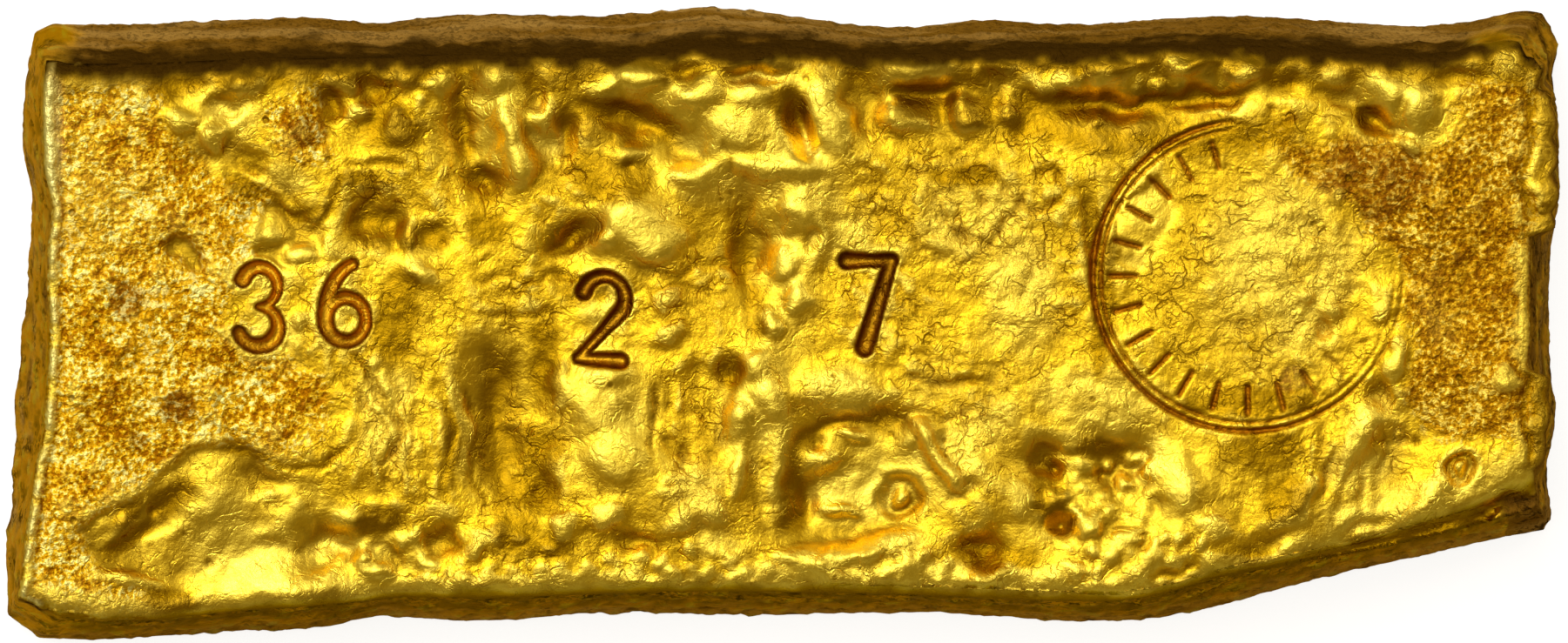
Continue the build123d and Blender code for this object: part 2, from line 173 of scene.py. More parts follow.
# Chased lines and cracks: depth, half width and the points they pass through.
creases = [
    (0.3, 0.16, [(-31.6, 8.8), (-30.0, 7.4), (-28.0, 6.2)]),
    (0.25, 0.14, [(-31.0, 8.9), (-28.9, 8.1), (-27.2, 6.6)]),
    (0.22, 0.12, [(-25.2, 8.9), (-23.4, 9.2), (-21.2, 8.8)]),
    (0.2, 0.12, [(-25.0, 8.7), (-25.8, 6.4), (-26.9, 5.3)]),
    (0.2, 0.12, [(-23.4, 8.6), (-23.6, 6.6)]),
    (0.22, 0.14, [(-17.6, 2.4), (-15.6, 2.9), (-13.9, 2.2), (-13.2, 2.9), (-11.4, 2.6)]),
    (0.22, 0.14, [(-17.4, 0.8), (-15.2, 0.4), (-13.6, 0.9), (-13.0, 0.2)]),
    (0.22, 0.12, [(-8.2, 3.4), (-6.2, 2.6), (-4.0, 3.6), (-2.4, 3.3)]),
    (0.2, 0.12, [(-7.6, 1.8), (-5.8, 2.3), (-4.4, 1.8)]),
    (0.25, 0.14, [(8.6, 7.8), (9.4, 5.6), (11.6, 4.4), (13.2, 6.2), (14.0, 8.4)]),
    (0.25, 0.14, [(10.2, 9.6), (10.8, 7.6), (11.9, 6.4)]),
    (0.22, 0.12, [(12.0, 9.2), (12.6, 7.4), (14.6, 6.4), (16.4, 7.2)]),
    (0.22, 0.12, [(13.9, 8.7), (15.4, 8.9), (16.2, 7.6), (15.2, 6.8)]),
    (0.2, 0.12, [(5.2, 6.6), (6.8, 6.0), (7.6, 4.2), (9.4, 3.6)]),
    (0.2, 0.12, [(4.2, 9.2), (5.6, 8.0), (5.0, 6.4)]),
    (0.22, 0.12, [(6.4, -2.6), (8.6, -3.6), (10.6, -3.2), (12.6, -3.6)]),
    (0.2, 0.12, [(6.4, -4.8), (8.8, -5.4), (10.6, -4.9), (13.0, -6.2)]),
    (0.3, 0.55, [(0.5, -9.0), (0.9, -7.2), (2.3, -5.9), (4.3, -5.2), (6.2, -5.5), (7.4, -6.6)]),
    (0.28, 0.16, [(-24.4, -1.8), (-22.8, -4.2), (-21.6, -6.2), (-22.4, -8.0)]),
    (0.25, 0.14, [(-24.8, -3.6), (-22.9, -5.2), (-22.2, -7.6), (-22.8, -9.4)]),
    (0.28, 0.14, [(-19.6, -3.4), (-18.8, -6.0), (-19.4, -8.6), (-18.9, -10.4)]),
    (0.25, 0.14, [(-18.4, -3.0), (-17.4, -6.2), (-17.8, -8.8), (-17.0, -10.6)]),
    (0.3, 0.16, [(-29.9, -7.4), (-28.0, -8.2), (-26.2, -8.0), (-24.6, -6.8)]),
    (0.35, 0.16, [(-7.3, -3.6), (-7.4, -5.4), (-7.6, -7.4)]),
    (0.6, 0.36, [(38.4, -12.4), (39.6, -11.2), (41.2, -10.0), (42.6, -9.2), (44.2, -8.5)]),
    (0.1, 0.07, [(-3.3, 11.2), (-3.2, 5.6)]),
    (0.45, 0.2, [(42.8, 13.6), (42.5, 11.4), (42.3, 9.0), (42.3, 7.0), (42.7, 4.8)]),
    (0.35, 0.18, [(42.6, -2.4), (42.4, -5.0), (42.6, -8.2)]),
]

# Pinholes: x, y and radius.
pinholes = [(-36.0, -10.7, 0.3), (-32.7, -13.8, 0.2), (-8.8, 9.0, 0.22), (1.9, -6.9, 0.2), (15.6, -8.3, 0.35),
            (15.8, -11.7, 0.35), (18.1, -8.7, 0.25), (-33.2, 4.0, 0.16), (27.9, 12.2, 0.2), (36.1, -6.8, 0.2)]

# Where the skin of the face is of one kind, and where shade and light are painted on it: x, y, reach along
# and reach across, then the turn if it isn't 0, and the steepness if it isn't 2.
skinZones = {
    "crackled": [
        (10.5, 7.4, 7.4, 3.8, 0, 2.5), (-12.7, 7.6, 2.4, 2.4), (-15.4, 1.0, 2.8, 2.8),
        (10.2, -3.6, 4.4, 2.2, -8), (-5.4, 1.6, 2.6, 2.6), (-21.4, 7.8, 3.4, 1.6), (15.2, 3.4, 2.4, 5.0),
        (6.0, 0.6, 3.6, 3.4), (26.5, 2.6, 6.6, 6.6, 0, 4), (-5.0, -7.5, 2.0, 4.0), (-25.6, -1.6, 2.6, 2.0),
    ],
    "folded": [
        (-22.2, -5.6, 3.4, 5.2, 0, 2.5), (-5.2, -6.2, 1.9, 3.8), (-13.6, -7.6, 1.5, 3.6),
        (31.8, -8.4, 2.6, 3.6, -30),
    ],
    "dropped": [
        (-16.5, -13.8, 6.0, 1.5, 0, 3), (-5.0, -13.9, 7.0, 1.4, 0, 3), (20.5, -13.6, 6.0, 1.8, 5),
        (-24.0, -12.4, 4.0, 2.2), (-22.5, 13.2, 3.6, 1.8), (7.0, -14.0, 6.0, 1.2), (20.0, 14.0, 8.0, 1.4),
        (18.0, -9.4, 4.0, 3.0),
    ],
    "glossy": [
        (-16.4, 12.0, 3.6, 3.8), (-6.6, 11.6, 5.4, 4.2, 0, 3), (1.6, 11.6, 3.6, 4.2, 0, 2.5),
        (9.4, 13.2, 5.6, 2.4, 0, 3), (21.6, 13.0, 6.6, 2.2, 0, 3), (35.0, 12.4, 3.8, 2.4),
        (-9.9, -5.6, 3.0, 4.6, 0, 2.5), (-16.7, -4.6, 2.0, 5.0), (-0.3, 2.0, 2.2, 7.4, 0, 2.5),
        (-9.2, 5.0, 2.8, 2.4), (3.9, -9.4, 5.0, 4.6, 0, 3), (18.6, -9.6, 6.6, 4.4, 0, 3),
        (-32.6, 12.4, 2.2, 2.0), (20.6, 5.8, 1.5, 2.4, 0, 3), (41.8, -10.6, 3.0, 1.6, 20),
        (-2.0, -4.0, 1.8, 3.2), (43.6, 9.0, 0.9, 4.4, 0, 4), (-22.0, 4.6, 2.6, 1.8),
    ],
    "stained": [
        (-34.6, -4.7, 1.15, 0.95, 30, 2.5), (-36.7, -6.5, 0.8, 0.55), (29.0, -3.3, 0.8, 0.95, 0, 3),
        (29.0, 11.6, 0.95, 0.35, 10), (25.2, 11.7, 0.4, 0.5), (-26.9, 10.9, 1.3, 1.2),
        (-37.4, 1.2, 1.0, 1.2), (33.6, 8.4, 3.4, 2.6, -10),
    ],
    "rubbed": [(-41.3, 16.5, 1.3, 0.5, -12), (-43.0, 16.3, 0.6, 0.6), (40.6, 16.2, 1.2, 0.5)],
    # painted shade: spots where the metal is mixed towards the shade colour
    "shaded": [
        (-10.0, 11.4, 3.2, 1.6, -5), (21.5, 10.9, 9.5, 1.5, 0, 3), (-22.2, 11.2, 2.2, 1.6),
        (-21.6, 2.2, 1.1, 1.3), (-11.4, 2.0, 2.2, 1.0), (-13.6, -1.0, 1.2, 1.4), (27.0, -4.5, 4.6, 1.0),
        (27.2, -7.2, 2.8, 1.6), (28.6, -9.9, 1.5, 1.6), (-14.6, -7.2, 2.4, 1.8), (-14.8, -9.9, 2.4, 1.8),
        (-34.8, -10.0, 2.0, 1.1, 38), (-12.4, 5.0, 1.4, 1.1, 30), (0.3, 12.1, 1.0, 2.0, 15),
        (15.0, 12.2, 9.5, 1.2, 0, 3), (22.5, 12.8, 4.5, 1.2, 4), (33.2, 11.6, 1.6, 0.9, -20),
        (-30.9, 7.9, 1.2, 0.5, -40), (-27.0, 6.4, 1.6, 0.4), (-24.0, 8.2, 1.8, 0.6),
        (-22.8, 5.5, 1.5, 1.1, 10), (-19.9, 4.9, 1.1, 0.9), (-10.4, 8.8, 2.0, 1.8), (-17.0, 5.4, 1.6, 1.2),
        (15.6, 11.2, 2.8, 1.1), (-37.6, -11.0, 1.6, 0.5, 38), (-16.2, -5.4, 1.7, 4.8, -3),
        (-15.2, -11.8, 1.4, 1.5), (-2.4, 3.4, 0.7, 2.8, 4), (-2.8, -3.0, 0.8, 1.5),
        (0.6, -10.2, 1.0, 2.4, 4), (18.2, -7.2, 2.0, 0.7), (15.2, -9.4, 1.2, 2.0), (18.2, 1.6, 0.8, 5.6),
        (-37.4, -12.2, 2.0, 0.8, 35), (-30.6, -7.5, 1.7, 0.5, -10), (-23.2, -11.3, 1.8, 0.8),
        (-18.9, -7.4, 0.6, 3.0), (11.5, -13.4, 1.8, 0.8), (26.2, -13.2, 2.0, 0.7, 10),
        (8.0, 13.3, 3.0, 0.5), (-28.6, 14.4, 1.8, 1.0), (-22.4, 14.3, 2.0, 0.9),
        (-8.8, 11.2, 3.0, 1.6, 0, 3), (-17.0, 8.0, 1.6, 1.5), (-9.6, 8.2, 2.6, 1.5, 0, 3),
        (-22.2, 0.2, 1.4, 2.8), (-22.6, 5.2, 2.2, 1.5, 0, 3), (-13.6, -2.6, 1.4, 2.2),
        (-1.6, 0.8, 1.0, 1.9), (15.6, 11.2, 3.4, 1.3, 0, 3), (28.6, 14.2, 1.6, 0.9),
        (-13.6, -12.8, 1.8, 1.0), (13.4, -13.2, 1.5, 0.8), (10.6, 8.4, 2.4, 0.8), (-25.9, 12.5, 0.8, 1.2),
        (-22.9, 12.6, 1.0, 1.2), (-12.3, 11.2, 0.4, 1.6), (-18.4, 11.0, 0.7, 2.6, 6),
        (-34.8, -15.8, 1.7, 0.8), (-22.4, 10.4, 1.8, 0.8),
    ],
    # painted light: spots where the metal is mixed towards the bright colour
    "paintedLight": [
        (-16.2, 11.6, 1.3, 3.2, 5), (-5.8, 12.3, 2.4, 1.4), (0.2, 8.2, 3.2, 1.3), (2.5, 11.6, 0.9, 2.0, 15),
        (-8.9, 5.8, 1.8, 1.3, -20), (-10.0, -6.0, 2.3, 3.4), (-0.7, -4.2, 1.1, 2.8, 5),
        (9.2, -7.6, 2.6, 2.4), (4.8, -13.2, 3.2, 0.9, 8), (22.0, -8.7, 1.6, 2.4, 20),
        (-31.2, -10.9, 2.0, 1.6), (-25.0, -12.9, 2.2, 0.8), (34.6, 13.0, 2.4, 1.4), (20.3, 5.8, 1.5, 2.3),
        (-38.6, 8.6, 3.2, 5.4), (28.6, 3.0, 4.4, 5.4), (-32.5, 10.3, 1.5, 1.4), (0.6, 3.6, 1.2, 3.4),
        (-13.5, 11.2, 0.8, 1.7), (-3.4, 10.8, 2.2, 1.2), (-1.8, -7.0, 1.4, 2.6),
        (-31.0, -12.0, 3.6, 2.0, 0, 2.5), (1.4, 6.4, 2.2, 2.6), (-4.2, 8.0, 2.2, 1.2),
        (-3.4, -12.8, 1.6, 1.1), (3.2, -3.9, 2.8, 1.3), (-0.6, 13.0, 2.2, 2.0), (0.4, 9.4, 2.6, 2.4),
        (3.0, 5.2, 3.6, 1.7), (-7.4, 5.0, 1.7, 1.8), (-1.4, -7.2, 1.9, 4.2), (4.2, -9.0, 2.4, 2.2),
        (10.2, -5.0, 3.2, 2.8), (18.0, -4.4, 3.6, 1.8, -10), (32.6, -11.4, 4.2, 1.5, 22),
        (-30.4, -13.8, 3.4, 1.7, 0, 2.5), (-22.6, -5.4, 1.7, 3.2), (-31.6, 11.4, 2.0, 1.6),
        (7.0, -14.4, 11.0, 0.9, 0, 3), (36.6, 11.2, 1.6, 1.2), (-24.0, -15.4, 5.0, 0.7),
        (37.6, 1.2, 1.4, 2.4), (-5.0, -9.8, 2.6, 1.9), (33.2, -7.2, 2.0, 3.0, -20), (-28.4, 8.2, 1.4, 0.8),
        (38.6, -9.4, 2.4, 1.0, 20), (7.8, 14.2, 2.0, 0.6), (-9.0, 13.9, 1.8, 0.6), (-28.4, -1.4, 1.4, 1.6),
        (10.5, 6.4, 3.6, 2.6), (13.4, 1.6, 2.2, 3.6),
    ],
}

# How ragged the border of a kind is, and between which values it fades in.
skinBorders = {
    "crackled": (0.25, 0.2, 0.8),
    "dropped": (0.3, 0.2, 0.8),
    "stained": (0.2, 0.3, 0.7),
    "shaded": (0.25, 0.2, 0.9),
}

# Frosted parts of the face: the outline of each.
frostAreas = {
    "west": [
        (-44.5, 15.5), (-36.0, 14.4), (-35.4, 11.6), (-33.2, 9.6), (-29.6, 7.4), (-30.4, 3.4), (-31.4, 0.5),
        (-28.8, -1.8), (-25.4, -3.0), (-25.8, -5.8), (-28.8, -7.2), (-33.0, -7.3), (-36.5, -9.4),
        (-40.0, -11.3), (-39.2, -13.6), (-36.6, -14.8), (-35.0, -17.0), (-38.0, -18.5), (-46.0, -18.5),
    ],
    "island": [(-29.4, 12.6), (-26.6, 13.4), (-25.8, 11.0), (-25.2, 9.4), (-27.8, 8.9), (-29.6, 10.4)],
    "east": [
        (25.0, 11.6), (30.0, 11.0), (33.0, 10.4), (37.0, 10.8), (38.6, 13.6), (45.5, 15.0), (45.5, -9.0),
        (41.0, -7.2), (37.0, -6.6), (35.6, -4.0), (35.4, 0.6), (34.4, 4.4), (31.4, 7.6), (28.0, 9.6),
    ],
}


def hashNumbers(column, row, seed):  # a steady number from 0 to 1 for each cell of a lattice
    wide = 0xffffffff
    mixed = (column * 374761393 + row * 668265263 + seed * 1442695041) & wide
    mixed = ((mixed ^ (mixed >> 13)) * 1274126177) & wide
    mixed = ((mixed ^ (mixed >> 15)) * 2246822519) & wide
    return ((mixed ^ (mixed >> 16)) & 0xffffff) / 0xffffff


def noise(x, y, size, seed):  # gradient noise, about -1 to 1
    u = x / size
    v = y / size
    column = np.floor(u).astype(np.int64)
    row = np.floor(v).astype(np.int64)
    u = u - column
    v = v - row
    easeU = u * u * u * (u * (u * 6 - 15) + 10)
    easeV = v * v * v * (v * (v * 6 - 15) + 10)

    def pull(right, up):
        turn = 2 * math.pi * hashNumbers(column + right, row + up, seed)
        return np.cos(turn) * (u - right) + np.sin(turn) * (v - up)

    lower = pull(0, 0) + easeU * (pull(1, 0) - pull(0, 0))
    upper = pull(0, 1) + easeU * (pull(1, 1) - pull(0, 1))
    return 1.5 * (lower + easeV * (upper - lower))


def billow(x, y, size, seed):  # round swellings with sharp creases between them
    return np.sqrt(np.abs(noise(x, y, size, seed)) + 0.01) - 0.5


def layeredNoise(x, y, size, seed, layers=4, kind=noise, fade=0.55):  # each layer half as wide
    total = 0
    weight = 1
    for layer in range(layers):
        total = total + weight * kind(x, y, size, seed + layer)
        size = size / 2
        weight = weight * fade
    return total


def droplets(x, y, size, seed):  # round domes, one to each cell of a lattice, up to 1 high
    u = x / size
    v = y / size
    column = np.floor(u).astype(np.int64)
    row = np.floor(v).astype(np.int64)
    height = np.zeros(u.shape)
    for right in (-1, 0, 1):
        for up in (-1, 0, 1):
            cell = (column + right, row + up)
            farU = column + right + hashNumbers(*cell, seed) - u
            farV = row + up + hashNumbers(*cell, seed + 7) - v
            reach = 0.25 + 0.4 * hashNumbers(*cell, seed + 13)
            dome = np.maximum(0, 1 - (farU * farU + farV * farV) / (reach * reach)) ** 1.3
            height = np.maximum(height, dome * (0.3 + 0.7 * hashNumbers(*cell, seed + 19)))
    return height


def ease(value, low, high):  # 0 below low, 1 above high, smooth between
    share = np.clip((value - low) / (high - low), 0, 1)
    return share * share * (3 - 2 * share)


def bell(value, half):  # 1 at 0, fading to both sides
    return np.exp(-(value / half) ** 2)


def turned(x, y, middleX, middleY, turn):  # places as they lie to a mark that is turned
    angle = math.radians(turn)
    u = (x - middleX) * math.cos(angle) + (y - middleY) * math.sin(angle)
    v = (y - middleY) * math.cos(angle) - (x - middleX) * math.sin(angle)
    return u, v


def blob(x, y, spot, steepness=2):  # 1 at a spot's middle, fading to 0. A spot may leave its last values out.
    spotX, spotY, along, across, turn, steepness = (*spot, *(0, steepness)[len(spot) - 4:])
    u, v = turned(x, y, spotX, spotY, turn)
    return np.exp(-np.power((u / along) ** 2 + (v / across) ** 2, steepness))


def zone(x, y, spots):  # the strongest of several spots
    strongest = np.zeros(x.shape)
    for spot in spots:
        strongest = np.maximum(strongest, blob(x, y, spot))
    return strongest


def lineDistance(x, y, points):  # distance to a run of straight lines, and the share of the way along it
    best = np.full(x.shape, 1e9)
    share = np.zeros(x.shape)
    runs = len(points) - 1
    for index in range(runs):
        startX, startY = points[index]
        runX = points[index + 1][0] - startX
        runY = points[index + 1][1] - startY
        along = ((x - startX) * runX + (y - startY) * runY) / (runX * runX + runY * runY)
        along = np.clip(along, 0, 1)
        far = np.hypot(x - startX - along * runX, y - startY - along * runY)
        share = np.where(far < best, (index + along) / runs, share)
        best = np.minimum(best, far)
    return best, share


def insideDistance(x, y, points):  # distance inside a closed outline, below zero outside it
    far, _ = lineDistance(x, y, points + points[:1])
    inside = np.zeros(x.shape, dtype=bool)
    for (startX, startY), (endX, endY) in zip(points, points[1:] + points[:1]):
        crosses = (startY > y) != (endY > y)
        atX = startX + (y - startY) * (endX - startX) / (endY - startY + 1e-12)
        inside ^= crosses & (x < atX)
    return np.where(inside, far, -far)


def blur(field, cellsWide):  # three running means, close to a round blur
    for axis in (0, 1):
        for _ in range(3):
            padded = np.concatenate([
                np.repeat(field.take([0], axis), cellsWide + 1, axis), field,
                np.repeat(field.take([-1], axis), cellsWide, axis)], axis)
            sums = np.cumsum(padded, axis)
            width = 2 * cellsWide + 1
            count = field.shape[axis]
            ahead = sums.take(range(width, width + count), axis)
            behind = sums.take(range(0, count), axis)
            field = (ahead - behind) / width
    return field


def sample(field, grid, x, y):  # the field's value at places between its cells
    u = np.clip((x - grid["west"]) / grid["pitch"], 0, field.shape[1] - 1.001)
    v = np.clip((y - grid["south"]) / grid["pitch"], 0, field.shape[0] - 1.001)
    column = u.astype(int)
    row = v.astype(int)
    u = u - column
    v = v - row
    lower = field[row, column] * (1 - u) + field[row, column + 1] * u
    upper = field[row + 1, column] * (1 - u) + field[row + 1, column + 1] * u
    return lower * (1 - v) + upper * v


# The punched digits: size, stroke width, and each one's place, turn and size.
digitStyle = {
    "height": 5.2,
    "width": 3.0,
    "stroke": 0.7,
    "depth": 0.5,
    "marks": [("three", -29.9, 0.95, -2, 1.0), ("six", -25.0, 1.2, 3, 1.0), ("two", -10.3, 0.3, -4, 1.06),
              ("seven", 4.9, 1.1, 0, 1.1)],
}


def arcPoints(middle, along, across, start, sweep, steps=14):
    points = []
    for step in range(steps + 1):
        angle = math.radians(start + sweep * step / steps)
        points.append((middle[0] + along * math.cos(angle), middle[1] + across * math.sin(angle)))
    return points


def digitStrokes(digit, width, height):  # each stroke: its points, and its widths at start, middle and end
    half = width / 2
    if digit == "three":
        bowl = height / 4
        return [
            (arcPoints((0, bowl), half * 0.9, bowl, 160, -250), (1.1, 0.8, 0.5)),
            (arcPoints((0, -bowl), half, bowl, 90, -250), (0.5, 1.15, 0.9)),
        ]
    if digit == "six":
        bowl = height * 0.28
        low = bowl - height / 2
        return [
            (arcPoints((0, low), half, bowl, 180, 360, 24), (1.1, 0.8, 1.1)),
            (arcPoints((half, low), width, height / 2 - low, 180, -75), (1.1, 1.0, 0.8)),
        ]
    if digit == "two":
        bowl = height * 0.27
        top = arcPoints((0, height / 2 - bowl), half, bowl, 165, -195)
        return [
            (top, (1.1, 0.8, 1.1)),
            ([top[-1], (-half, -height / 2)], (1.1, 0.8, 0.7)),
            ([(-half, -height / 2), (half, -height / 2)], (0.8, 1.0, 1.1)),
        ]
    return [
        ([(-half, height / 2), (half, height / 2)], (1.2, 0.9, 1.0)),
        ([(half, height / 2), (-width * 0.1, -height / 2)], (0.9, 1.1, 1.25)),
    ]


def strikeDigits(x, y):  # above 0 inside a stroke, 1 and more along its middle, and far below 0 elsewhere
    groove = np.full(x.shape, -9.0)
    for digit, markX, markY, turn, size in digitStyle["marks"]:
        near = (np.abs(x - markX) < 5) & (np.abs(y - markY) < 5)
        u, v = turned(x[near], y[near], markX, markY, turn)
        width = size * (digitStyle["width"] - digitStyle["stroke"])
        height = size * (digitStyle["height"] - digitStyle["stroke"])
        for points, (first, middle, last) in digitStrokes(digit, width, height):
            far, share = lineDistance(u, v, points)
            half = digitStyle["stroke"] / 2 * np.interp(share, (0, 0.5, 1), (first, middle, last))
            groove[near] = np.maximum(groove[near], 1.35 - far / half)
    return groove


# The round die: its place, its border of two lines, the strokes inside it, and how hard each part was struck.
die = {
    "middle": (26.5, 2.7),
    "radius": 8.65,
    "clearReach": 9.6,
    "fieldReach": 7.6,
    "fieldEast": 30.5,
    "borderLines": [(0.2, 0.2, 1.0), (-0.26, 0.13, 0.7)],
    "borderDepth": 0.36,
    "strength": [(0, 0.25), (25, 0.12), (60, 0.0), (92, 0.1), (105, 0.8), (140, 0.9), (180, 1.0), (230, 1.0),
                 (280, 0.9), (305, 0.6), (330, 0.3), (360, 0.25)],
    "ticks": 24,
    "tickLength": 1.5,
    "tickHalfWidth": 0.22,
    "tickGap": 0.8,
    "tickDepth": 0.26,
    "slantedRim": (17.6, 5.2, 0.5, 2.6, 6, 2.0),
}


def strikeDie(x, y):
    offX = x - die["middle"][0]
    offY = y - die["middle"][1]
    far = np.hypot(offX, offY)
    turn = np.degrees(np.arctan2(offY, offX)) % 360
    places, strengths = zip(*die["strength"])
    strength = np.interp(turn, places, strengths)
    border = np.zeros(x.shape)
    for outward, half, share in die["borderLines"]:
        line = np.clip(1 - np.abs(far - die["radius"] - outward) / (half * (0.45 + 0.65 * strength)), 0, 1)
        border = np.maximum(border, line * share)
    step = 360 / die["ticks"]
    slot = np.round(turn / step) * step
    sideways = far * np.sin(np.radians(turn - slot))
    inner = die["radius"] - die["tickGap"] - die["tickLength"]
    outer = die["radius"] - die["tickGap"]
    endwise = np.maximum(inner - far, far - outer)
    tick = np.clip(1 - np.hypot(sideways, np.maximum(endwise, 0)) / die["tickHalfWidth"], 0, 1)
    tickStrength = np.clip(1.35 * strength - 0.3, 0, 1)
    return border * strength, tick * tickStrength


def addObject(name, data):
    item = bpy.data.objects.new(name, data)
    bpy.context.scene.collection.objects.link(item)
    return item


def castRays():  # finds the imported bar's belly line and upper edge, one point for each column of the mesh
    tree = BVHTree.FromObject(cadBar, bpy.context.evaluated_depsgraph_get())
    along = barLayout["columnsAlong"]
    across = barLayout["columnsAcross"]
    outer = barLayout["outerCorners"]
    inner = barLayout["innerCorners"]
    starts = []
    ends = []
    for side, count in enumerate([along, across, along, across]):
        for step in range(count):
            share = step / count
            for corners, found in ((outer, starts), (inner, ends)):
                here = np.array(corners[side])
                following = np.array(corners[(side + 1) % 4])
                found.append(here + (following - here) * share)
    rings = {}
    for name, height in (("belly", barLayout["bellyHeight"]), ("upper", barLayout["upperHeight"])):
        ring = []
        for start, end in zip(starts, ends):
            way = Vector((end[0] - start[0], end[1] - start[1], 0))
            # A ray that slips through a seam of the mesh is cast again a little to the side.
            for nudge in (0.0, 0.013, 0.029, 0.047):
                origin = Vector((start[0] + nudge, start[1] + nudge, height + nudge)) * mm
                hit = tree.ray_cast(origin, way.normalized(), way.length * mm)[0]
                if hit is not None:
                    break
            ring.append((hit.x / mm, hit.y / mm))
        rings[name] = np.array(ring)
    rings["plain"] = rings["belly"] + (rings["upper"] - rings["belly"]) / barLayout["upperShare"]

    # The flash carries the east edge outwards, in scallops.
    edge = rings["plain"].copy()
    for index in range(along, along + across):
        y = edge[index, 1]
        scallop = 0.75 + 0.25 * abs(math.sin(1.5 * y))
        for low, high, reach in eastPlates:
            over = reach * ease(y, low, low + 0.5) * ease(high - y, 0, 0.5) * scallop
            edge[index, 0] += over * (rings["belly"][index, 0] - edge[index, 0])
    rings["edge"] = edge
    inward = np.array(ends) - np.array(starts)
    rings["inward"] = inward / np.linalg.norm(inward, axis=1)[:, None]
    return tree, rings


def seenFromAbove(tree, x, y):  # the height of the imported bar's own face, without its marks
    pitch = barLayout["basePitch"]
    coarse = {"west": x[0, 0], "south": y[0, 0], "pitch": pitch}
    alongX = np.arange(x[0, 0], x[0, -1] + pitch, pitch)
    acrossY = np.arange(y[0, 0], y[-1, 0] + pitch, pitch)
    baseX, baseY = np.meshgrid(alongX, acrossY)
    base = np.zeros(baseX.shape)
    known = np.zeros(baseX.shape)
    struck = strikeDigits(baseX, baseY) > -0.4
    struck = struck | (blob(baseX, baseY, (*die["middle"], die["clearReach"], die["clearReach"]), 8) > 0.5)
    for index in np.ndindex(baseX.shape):
        place, normal, _, _ = tree.ray_cast(Vector((baseX[index], baseY[index], 20)) * mm, Vector((0, 0, -1)))
        if place is not None and normal.z > 0.8 and not struck[index]:
            base[index] = place.z / mm
            known[index] = 1
    for reach in (1, 2, 4, 8, 16):
        weight = blur(known, reach)
        spread = blur(base * known, reach) / np.maximum(weight, 1e-6)
        fill = (known == 0) & (weight > 1e-3)
        base = np.where(fill, spread, base)
        known = np.where(fill, 1, known)
    return blur(sample(base, coarse, x, y), 5)


def sidesOf(ring, closed=0):  # the south, east, north and west side, with closed 1 up to the next corner
    ends = np.cumsum([0] + 2 * [barLayout["columnsAlong"], barLayout["columnsAcross"]])
    loop = np.vstack([ring, ring[:1]])
    south, east, north, west = [loop[low:high + closed] for low, high in zip(ends, ends[1:])]
    return south, east, north[::-1], west[::-1]


def edgeMargins(edge, x, y):  # how far each place stands inside each side of the upper face
    south, east, north, west = sidesOf(edge)
    return {
        "south": y - np.interp(x, *south.T),
        "north": np.interp(x, *north.T) - y,
        "east": np.interp(y, east[:, 1], east[:, 0]) - x,
        "west": x - np.interp(y, west[:, 1], west[:, 0]),
    }


# How far each kind of relief rises, how much the listed forms are bent, and where the west edge's bead runs.
castRelief = {
    "forms": 1.3,
    "warp": 0.36,
    "swells": 0.15,
    "crust": 0.27,
    "leastCrackled": 0.4,
    "folds": 0.26,
    "frost": 0.05,
    "drops": 0.36,
    "smallDrops": 0.22,
    "glossyDrops": 0.08,
    "bead": 0.3,
    "beadGroove": 0.14,
    "beadMargin": 0.3,
    "beadHalf": 0.17,
    "broadBead": (7.0, 14.6),
    "broadBeadHalf": 0.33,
    "digitRim": 0.045,
    "slantedRim": 0.35,
    "plateLumps": 0.16,
}

# How tarnish, the painted shadow along the north edge and the painted shade bands creep in over the edges:
# from which side, how far they wander, how far in besides, and how softly they end.
edgeCreep = {
    "tarnishEast": ("east", 0.15, 0.0, 0.2),
    "tarnishNorth": ("north", 0.75, 0.0, 0.35),
    "sootAndShadow": ("north", 1.1, 0.0, 0.5),
    "shadeSouth": ("south", 0.7, -0.35, 0.5),
    "shadeNorth": ("north", 1.7, 0.1, 0.7),
}


